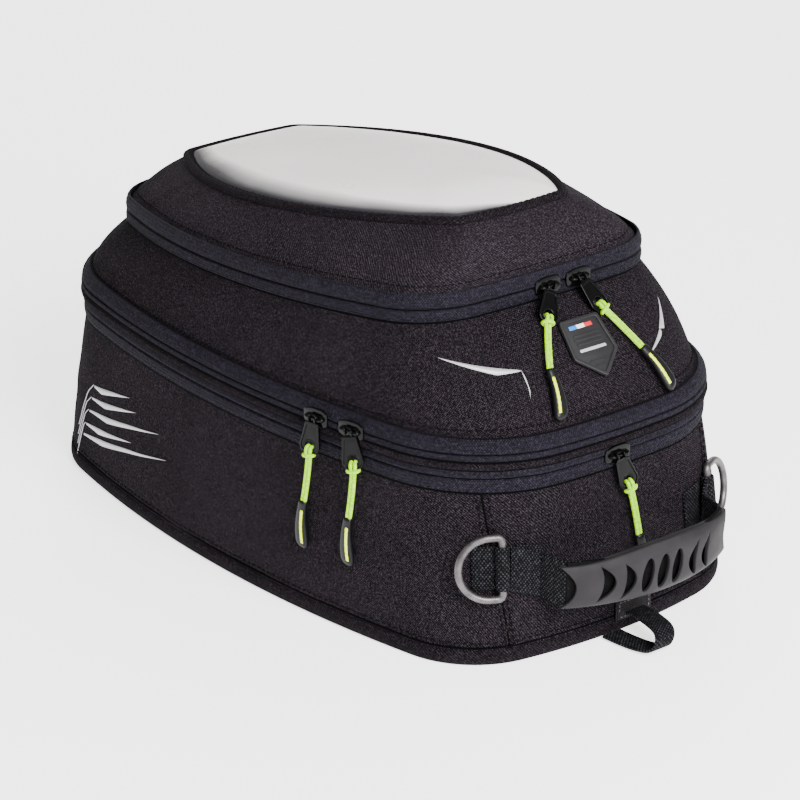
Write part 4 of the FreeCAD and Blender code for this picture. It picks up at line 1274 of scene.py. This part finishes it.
# ---------------------------------------------------------------- map window
def add_window():
    """The map window: its bound edge, and clear film that rises from it to a flat crown."""
    binding = []
    for out, rise in ((-3.6, 0.2), (-3.6, 1.6), (-2.8, 2.6), (-1.4, 3.3), (0.0, 3.3), (1.2, 2.5), (1.9, 1.2),
                      (1.9, -0.6), (0.4, -1.4), (-2.0, -1.2)):
        binding.append((WINDOW, WINDOW_Z + rise - 0.4, WINDOW_TILT, out))
    place(band("window_edge", binding, "piping"), "top_cover", "piping", "window_binding")
    place(stitched_ring("window_stitches", WINDOW.grown(-2.2), WINDOW_Z + 2.6, WINDOW_TILT, 0.0, radius=0.3),
          "top_cover", "piping")
    rows = []
    crown = Outline(half=26.0, apex=-25.0, side_r=233.0, front=50.0, front_r=200.0, front_c=9.0,
                    rear=-100.0, rear_r=250.0, rear_c=9.0)
    steps = 16
    edge = WINDOW.grown(-3.0)
    for i in range(steps + 1):
        share = i / steps
        outline = edge.mixed(crown, share ** 1.2)
        rise = 0.9 + 7.6 * math.sin(share * math.pi / 2) ** 0.8
        row = []
        for c in COLUMNS:
            x, y, _, _ = outline.at(c)
            ripple = 0.35 * folds(Vector((x, y, 0)), 46) * math.sin(math.pi * min(share * 1.4, 1.0))
            row.append(placed(x, y, WINDOW_Z + rise + ripple, WINDOW_TILT))
        rows.append(row)
    film = grid("window_film", rows, "film")
    cap_film(film, len(COLUMNS), steps)
    place(film, "top_cover", "film", "map_window")


def cap_film(film, length, steps):
    """Closes the film's flat crown, and gives the film its thickness."""
    with editing(film.data) as work:
        work.verts.ensure_lookup_table()
        crown = work.faces.new([work.verts[steps * length + k] for k in range(length)])
        layer = work.loops.layers.uv["Cloth"]
        for part in bmesh.ops.triangulate(work, faces=[crown])["faces"]:
            for loop in part.loops:
                loop[layer].uv = (loop.vert.co.x, 0.1)
    film.data.polygons.foreach_set("use_smooth", [True] * len(film.data.polygons))
    thick = film.modifiers.new("thickness", "SOLIDIFY")
    thick.thickness = 0.8 * MM
    thick.offset = -1.0


# ---------------------------------------------------------------- linings and inner pieces
def flat_ring(name, outline, inner, outer, z, tilt, thick, material):
    """A flat ring of cloth between two insets of one outline."""
    section = [(outline, z, tilt, -inner), (outline, z, tilt, -outer), (outline, z - thick, tilt, -outer),
               (outline, z - thick, tilt, -inner)]
    return band(name, section, material)


def lining(level, depth, lumps, size):
    """The soft surface of a lining that hangs inside a wall."""
    return Surface(level, lambda c, v, p: -FABRIC - GAP - depth + lumps * folds(p, size))


def add_inside():
    """Seam allowances, linings and the folded gusset, and materials for the CAD's own inner pieces."""
    for name, outline, inner, outer, z, tilt, thick, body in (
            ("rim_seam_allowance", RIM, 3.0, GUSSET_INSET + 0.8, BEAD_Z - BEAD_R - 0.2, 0.0, 1.2, "rim"),
            ("lid_seam_allowance", RIM, 5.3, 9.2, MAIN_TAPE_TOP - 0.3, 0.0, 1.0, "lid"),
            ("divider_edge", TOP, 1.0, 9.0, LID_TOP - 3.4, TOP_TILT, 1.0, "lid")):
        place(flat_ring(name, outline, inner, outer, z, tilt, thick, "gusset"), body, "gusset")
    for name, surface, low, high, rows_count, body in (
            ("tub_lining", lining(tub_level, 0.6, 0.5, 30), 0.02, 0.95, 14, "base"),
            ("lid_lining", lining(lid_level, 0.5, 0.4, 28), 0.04, 0.78, 10, "lid"),
            ("top_lining", lining(cover_level, 0.4, 0.3, 28), 0.04, 0.86, 8, "top_cover")):
        piece = wall(name + "_cloth", surface, low, high, LINING, "lining", rows_count)
        place(piece, body, "lining", name)
    inset_rim = RIM.grown(-GUSSET_INSET)

    def skirt(v):
        return inset_rim, GUSSET_BOTTOM + (BEAD_Z - BEAD_R - 0.3 - GUSSET_BOTTOM) * v, 0.0

    pleats = Surface(skirt, lambda c, v, p: -0.5 + 0.45 * math.sin(v * 22) + 0.3 * folds(p, 20))
    place(wall("gusset_skirt", pleats, 0.0, 1.0, 0.8, "gusset", 26), "rim", "gusset", "expansion_gusset")
    for node, material in (
            ("base_panel", "rubber_sheet"), ("base_board", "board"), ("divider_panel", "board"),
            ("map_pocket_back", "lining"), ("d_ring_left", "ring"), ("d_ring_right", "ring"),
            ("grip_strap", "webbing"), ("main_hinge_strip", "tape"), ("upper_hinge_strip", "tape")):
        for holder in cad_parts[node].material_slots:
            holder.material = MATERIALS[material]


# ---------------------------------------------------------------- rings, handle and loop
def ring_frame():
    """Bar centre of the near D-ring, and the directions of its bow, its bar and outwards, as in the CAD."""
    def corner(z):
        outline = tub_level(tub_share(z))[0]
        knee = outline.knee("front", 1)[0]
        reach = outline.sizes["front_c"]
        return Vector((knee.x + math.cos(RING_ANGLE) * reach, knee.y + math.sin(RING_ANGLE) * reach, z))

    bow = Vector((math.sin(RING_ANGLE), -math.cos(RING_ANGLE), 0))
    rise = corner(RING_Z + RING_BAR) - corner(RING_Z - RING_BAR)
    upright = (rise - bow * rise.dot(bow)).normalized()
    normal = upright.cross(bow).normalized()
    if normal.x < 0:
        normal = -normal
    return corner(RING_Z) + normal * RING_STANDOFF, bow, upright, normal


def mirrored(points, side):
    """Points of the near side, or the same on the far side."""
    return [Vector((p.x, p.y * side, p.z)) for p in points]


def ribbon(name, path, up, width, thick, material):
    """Webbing along a path, in millimetres, with its width along up and slightly thinner edges."""
    count = len(path)
    section = [(-0.5, 0.3), (-0.46, 0.5), (0.46, 0.5), (0.5, 0.3), (0.5, -0.3), (0.46, -0.5), (-0.46, -0.5),
               (-0.5, -0.3)]
    rows = []
    for i, point in enumerate(path):
        tangent = (path[min(i + 1, count - 1)] - path[max(i - 1, 0)]).normalized()
        face = tangent.cross(up).normalized()
        rows.append([point + up * (a * width) + face * (b * thick) for a, b in section])
    piece = grid(name, rows, material)
    close_ends(piece, len(section), count)
    layer = piece.data.uv_layers["Cloth"]
    lengths = [0.0]
    for a, b in zip(path, path[1:]):
        lengths.append(lengths[-1] + (b - a).length)
    for loop in piece.data.loops:
        row, col = divmod(loop.vertex_index, len(section))
        layer.data[loop.index].uv = (lengths[row] * MM, section[col][0] * width * MM)
    return smooth_by_angle(piece, 40)


def wall_line(heights, start, stop, out, steps):
    """Points along the tub's wall from one height and place to another."""
    points = []
    for i in range(steps + 1):
        share = i / steps
        z = heights[0] + (heights[1] - heights[0]) * share
        points.append(TUB.at(start + (stop - start) * share, tub_share(z), out))
    return points


def tub_front_c(y, z):
    """The place on the tub's near front whose y is this, at height z."""
    outline = tub_level(tub_share(z))[0]
    low, high = 3.0, 5.0
    for _ in range(30):
        middle = (low + high) / 2
        if outline.at(middle)[1] < y:
            low = middle
        else:
            high = middle
    return (low + high) / 2


def add_keepers():
    """Webbing from the corner seam, round the D-ring's bar and back, with its tail sewn to the tub."""
    bar, bow, upright, normal = ring_frame()
    bar_c = tub_front_c(bar.y + 2.3, RING_Z)
    fold = RING_WIRE + GAP + 0.7
    round_bar = [bar + normal * (fold * math.sin(a)) + bow * (fold * math.cos(a))
                 for a in (math.radians(d) for d in range(-60, 241, 20))]
    tail = wall_line((RING_Z, RING_Z - 2.5), bar_c + 0.09, tub_front_c(-48.0, RING_Z), GAP + KEEPER / 2, 16)
    under = wall_line((RING_Z, RING_Z), bar_c - 0.2, bar_c - 0.03, GAP + 0.8, 8)
    for side, name in SIDES:
        parts = []
        for path in (round_bar, tail, under):
            points = mirrored(path, side)
            up = Vector((upright.x, upright.y * side, upright.z))
            parts.append(ribbon("part", points, up, KEEPER_WIDTH, KEEPER * 0.8, "webbing"))
        place(joined("keeper_" + name, parts), "base", "webbing", "ring_keeper_" + name)


GRIP_RADIUS = (GRIP_HALF ** 2 + GRIP_SAG ** 2) / (2 * GRIP_SAG)


def grip_point(s, z, out):
    """A point on the grip: s along its arc from the middle, z up, out from its middle surface."""
    centre_x = GRIP_END_X + GRIP_SAG - GRIP_RADIUS
    a = s / GRIP_RADIUS
    r = GRIP_RADIUS + out
    return Vector((centre_x + r * math.cos(a), r * math.sin(a) + GRIP_SHIFT, HANDLE_Z + z))


GRIP_BEND = round(GRIP_RADIUS, 1)
GRIP_LENGTH = 2 * GRIP_BEND * math.asin(GRIP_HALF / GRIP_BEND)      # along its arc, from mouth to mouth
GRIP_TIPS = 2.6                                         # how far the fishtails reach past the mouths


def grip_half_height(s, top=False):
    """How far the grip's top or foot is from its middle line: the foot is almost straight."""
    share = min(abs(s) / (GRIP_LENGTH / 2), 1.0)
    return 15.8 - 5.2 * smooth(0.1, 1.0, share) if top else 12.3 + 0.5 * smooth(0.35, 1.0, share)


def grip_outline():
    """The grip's face in (s, z): a bar that is highest in the middle, with a fishtail at each end."""
    reach = GRIP_LENGTH / 2 + GRIP_TIPS
    loop = []
    for k in range(41):
        s = -reach + 2 * reach * k / 40
        loop.append((s, -grip_half_height(s)))
    foot, top = -grip_half_height(reach), grip_half_height(reach, True)
    for k in range(1, 12):
        loop.append((reach - 8.0 * (1 - (k / 6 - 1) ** 2), foot + (top - foot) * k / 12))
    for k in range(41):
        s = reach - 2 * reach * k / 40
        loop.append((s, grip_half_height(s, True)))
    for k in range(1, 12):
        loop.append((-reach + 8.0 * (1 - (k / 6 - 1) ** 2), top - (top - foot) * k / 12))
    return loop


def crescent(s, half, width, bulge, lean):
    """A slot whose two sides bow towards +s by bulge, the inner one less; lean tilts it."""
    loop = []
    for k in range(13):
        t = -1 + 2 * k / 12
        loop.append((s + bulge * (1 - t * t) + lean * t, half * t))
    for k in range(1, 12):
        t = 1 - 2 * k / 12
        loop.append((s + (bulge - math.copysign(width, bulge)) * (1 - t * t) + lean * t, half * t))
    return loop


def grip_slots():
    slots = []
    for s, half, width, bulge in ((-39.0, 9.9, 6.2, 8.5), (-26.5, 9.6, 5.6, 7.0), (21.0, 9.8, 5.4, -7.5),
                                  (31.0, 9.4, 5.4, -7.5)):
        slots.append(crescent(s, half, width, bulge, 1.2))
    for s in (-12.8, -3.6, 5.6):
        slots.append([(x + (y - 0.6) * 0.16, y + 0.6) for x, y in circle(s, 0, 9.2, 28, 0.36)])
    return slots


def grip_plate(name, loops, front):
    """One face of the grip, bent to its arc and rounded over at its top and bottom."""
    plate = flat_part(name, loops, 2.2, 0.45, Matrix.Identity(4), "grip")
    reach = GRIP_LENGTH / 2 + GRIP_TIPS
    with editing(plate.data) as work:
        for direction, limit in ((Vector((1, 0, 0)), reach), (Vector((0, 1, 0)), 18.0)):
            position = -limit
            while position < limit:
                bmesh.ops.bisect_plane(work, geom=work.verts[:] + work.edges[:] + work.faces[:],
                                       plane_co=direction * (position * MM), plane_no=direction)
                position += 2.2
        for vertex in work.verts:
            s, z, n = (value / MM for value in vertex.co)
            across = min(abs(z) / grip_half_height(s, z > 0), 1.0)
            swell = (3.5 - 1.9 * smooth(0.45, 1.0, abs(s) / reach)) * (1 - across ** 4) + 1.0
            vertex.co = grip_point(s, z, front * swell + n) * MM
    return smooth_by_angle(plate, 38)


def add_handle():
    """Rubber grip on its webbing, which runs from the D-rings through the grip."""
    front = grip_plate("front", [grip_outline()] + grip_slots(), 1)
    back = grip_plate("back", [grip_outline()], -1)
    place(joined("grip_rubber_sleeve", [front, back]), "handle", "rubber_grip", "grip")
    bar, _, _, normal = ring_frame()
    for side, name in SIDES:
        mouth = grip_point(-side * GRIP_LENGTH / 2, 0, 0)
        mouth.y *= side
        inside = grip_point(-side * (GRIP_LENGTH / 2 - 9.0), 0, 0)
        inside.y *= side
        over = GAP + KEEPER + 0.2 + STRAP / 2
        start_c, end_c = tub_front_c(bar.y + 5.5, RING_Z), tub_front_c(mouth.y - 5.0, HANDLE_Z)
        sewn = wall_line((RING_Z, HANDLE_Z + 1.5), start_c, end_c, over, 14)
        leave = sewn[-1] + (sewn[-1] - sewn[-2]).normalized() * 3.0
        curve = [leave, leave.lerp(mouth, 0.5) + normal * 0.8, mouth, inside]
        run = spline_points(curve)
        path = mirrored(sewn + run[1:], side)
        strap = ribbon("handle_webbing_" + name, path, Vector((0, 0, 1)), STRAP_WIDTH, STRAP, "webbing")
        mirrored([leave], side)[0] * MM
        mirrored([mouth], side)[0] * MM
        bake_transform(strap)
        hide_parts("handle_strap_" + name)


def add_loop():
    """Webbing loop at the hem, skewed, with its grey stitched tab."""
    front = BASE.sizes["front"]
    middle = [(1.6, -6.0, 1.6), (10.0, -5.0, 1.5), (22.0, -2.5, 1.6), (31.5, 0.5, 3.0), (33.0, 3.0, 8.5),
              (29.0, 5.5, 12.4), (18.0, 7.2, 12.8), (8.0, 8.4, 12.6), (2.6, 9.0, 11.4)]
    path = spline_points([Vector((front + x, y, z)) for x, y, z in middle])
    piece = ribbon("webbing_loop", path, Vector((0, 1, 0)), 13.0, 1.6, "webbing")
    place(piece, "base", "webbing", "front_loop")
    low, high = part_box("hem_tab")

    def patch(i, j, height):
        x = low.x / MM + 0.2 * math.sin(i * 7) + height
        return Vector((x, (low.y + (high.y - low.y) * i) / MM, (low.z + (high.z - low.z) * j) / MM))

    tab = slab("grey_tab", patch, 14, 8, 1.2, "tab")
    corners = [(0.08, 0.14), (0.92, 0.14), (0.92, 0.86), (0.08, 0.86), (0.08, 0.14)]
    spots = []
    for (a, b), (c, d) in zip(corners, corners[1:]):
        spots += [(patch(a + (c - a) * k / 8, b + (d - b) * k / 8, 1.2), Vector((1, 0, 0))) for k in range(8)]
    place(joined("hem_tab_patch", [tab, stitches("thread", spots, "grey_thread", 1.8, 2.6, 0.3)]),
          "base", "tab_grey", "hem_tab")


# ---------------------------------------------------------------- badge and prints
def add_badge():
    """Five-sided rubber patch with a raised border, a bar of three colours and plain ribs."""
    centre, normal = lid_front(0.56, 6.2, 1.0)
    across = Vector((0, 1, 0))
    corners = [(-12.6, 15.5), (12.6, 15.5), (14.6, -6.5), (0.0, -19.5), (-14.6, -6.5)]
    axes = Matrix((across, normal.cross(across), normal)).transposed().to_4x4()
    axes.translation = centre
    inner = [(x * 0.86, y * 0.87 + 0.1) for x, y in corners]

    def layer(name, loops, bottom, thick, bevel, material):
        lifted = axes @ Matrix.Translation((0, 0, bottom + thick / 2))
        return flat_part(name, loops, thick, bevel, lifted, material)

    parts = [layer("back", [rounded(corners, 1.6)], 0.0, 1.2, 0.35, "badge"),
             layer("border", [rounded(corners, 1.6), rounded(inner, 1.2)], 0.9, 1.0, 0.4, "badge")]
    for k, colour in enumerate(("blue", "white", "red")):
        left = -8.4 + k * 5.0
        bar = [(left, 9.4), (left + 5.0, 9.4), (left + 5.0, 11.6), (left, 11.6)]
        parts.append(layer("bar", [bar], 1.1, 0.5, 0.1, colour))
    for y, half in ((5.6, 8.2), (3.2, 8.8), (0.8, 8.2)):
        rib = rounded([(-half, y - 0.7), (half, y - 0.7), (half, y + 0.7), (-half, y + 0.7)], 0.6)
        parts.append(layer("rib", [rib], 1.0, 0.6, 0.25, "badge"))
    line = rounded([(-8.6, -3.6), (8.6, -3.6), (8.6, -2.0), (-8.6, -2.0)], 0.7)
    parts.append(layer("line", [line], 1.0, 0.5, 0.1, "print"))
    for y, half in ((-9.6, 6.4), (-12.2, 3.8)):
        rib = rounded([(-half, y - 0.6), (half, y - 0.6), (half * 0.8, y + 0.6), (-half * 0.8, y + 0.6)], 0.5)
        parts.append(layer("rib", [rib], 1.0, 0.5, 0.2, "badge"))
    place(joined("badge_patch", parts), "lid", "rubber_badge", "badge")


def stripe(name, surface, start, stop, width, peak, root=0.3):
    """A tapered print between two places (c, v), root wide at its start and widest at peak of its length."""
    def point(i, j, height):
        c = start[0] + (stop[0] - start[0]) * j
        v = start[1] + (stop[1] - start[1]) * j
        taper = root + (1 - root) * j / peak if j < peak else (1 - (j - peak) / (1 - peak)) ** 0.9
        return surface.above(c, v - width * max(taper, 0.03) * i, 0.12 + height)

    return slab(name, point, 2, 30, 0.22, "print", edge=0.2)


def hairline(name, surface, start, stop):
    """A thin printed line between two places (c, v)."""
    path = []
    for k in range(13):
        share = k / 12
        path.append(surface.above(start[0] + (stop[0] - start[0]) * share,
                                  start[1] + (stop[1] - start[1]) * share, 0.15))
    return tube(name, path, 0.3, "print", sides=6, flat=0.5)


def add_prints():
    """Plain tapered reflective bars on the tub's near side and on the lid's front corners."""
    bars = [((2.029, 0.600), (2.178, 0.690), 0.25), ((2.023, 0.503), (2.210, 0.622), 0.35),
            ((2.018, 0.405), (2.300, 0.578), 0.3), ((2.012, 0.300), (2.205, 0.405), 0.3),
            ((2.006, 0.215), (2.335, 0.440), 0.25)]
    parts = [stripe("bar", TUB, start, stop, 0.042, peak) for start, stop, peak in bars]
    for k, (start, _, _) in enumerate(bars[:4]):
        foot = (start[0] - 0.05 - 0.10 * (0.7 - 0.15 * k), start[1] - 0.36 + 0.03 * k)
        parts.append(hairline("line", TUB, (start[0] - 0.006, start[1] - 0.005), foot))
    place(joined("side_prints", parts), "base", "body_cloth")
    for name, tips in (("near", (((3.46, 0.70), (4.06, 0.515), 0.062, 0.62, 0.05),
                                 ((4.05, 0.515), (3.968, 0.305), 0.05, 0.1, 0.8))),
                       ("far", (((6.42, 0.69), (6.21, 0.50), 0.08, 0.7, 0.05),
                                ((6.22, 0.50), (6.0, 0.34), 0.045, 0.1, 0.8)))):
        place(joined("lid_prints_" + name, [stripe("bar", LID, *tip) for tip in tips]), "lid", "body_cloth")


add_walls()
add_panel_seams()
add_zips()
add_window()
add_inside()
add_keepers()
add_handle()
add_loop()
add_badge()
add_prints()
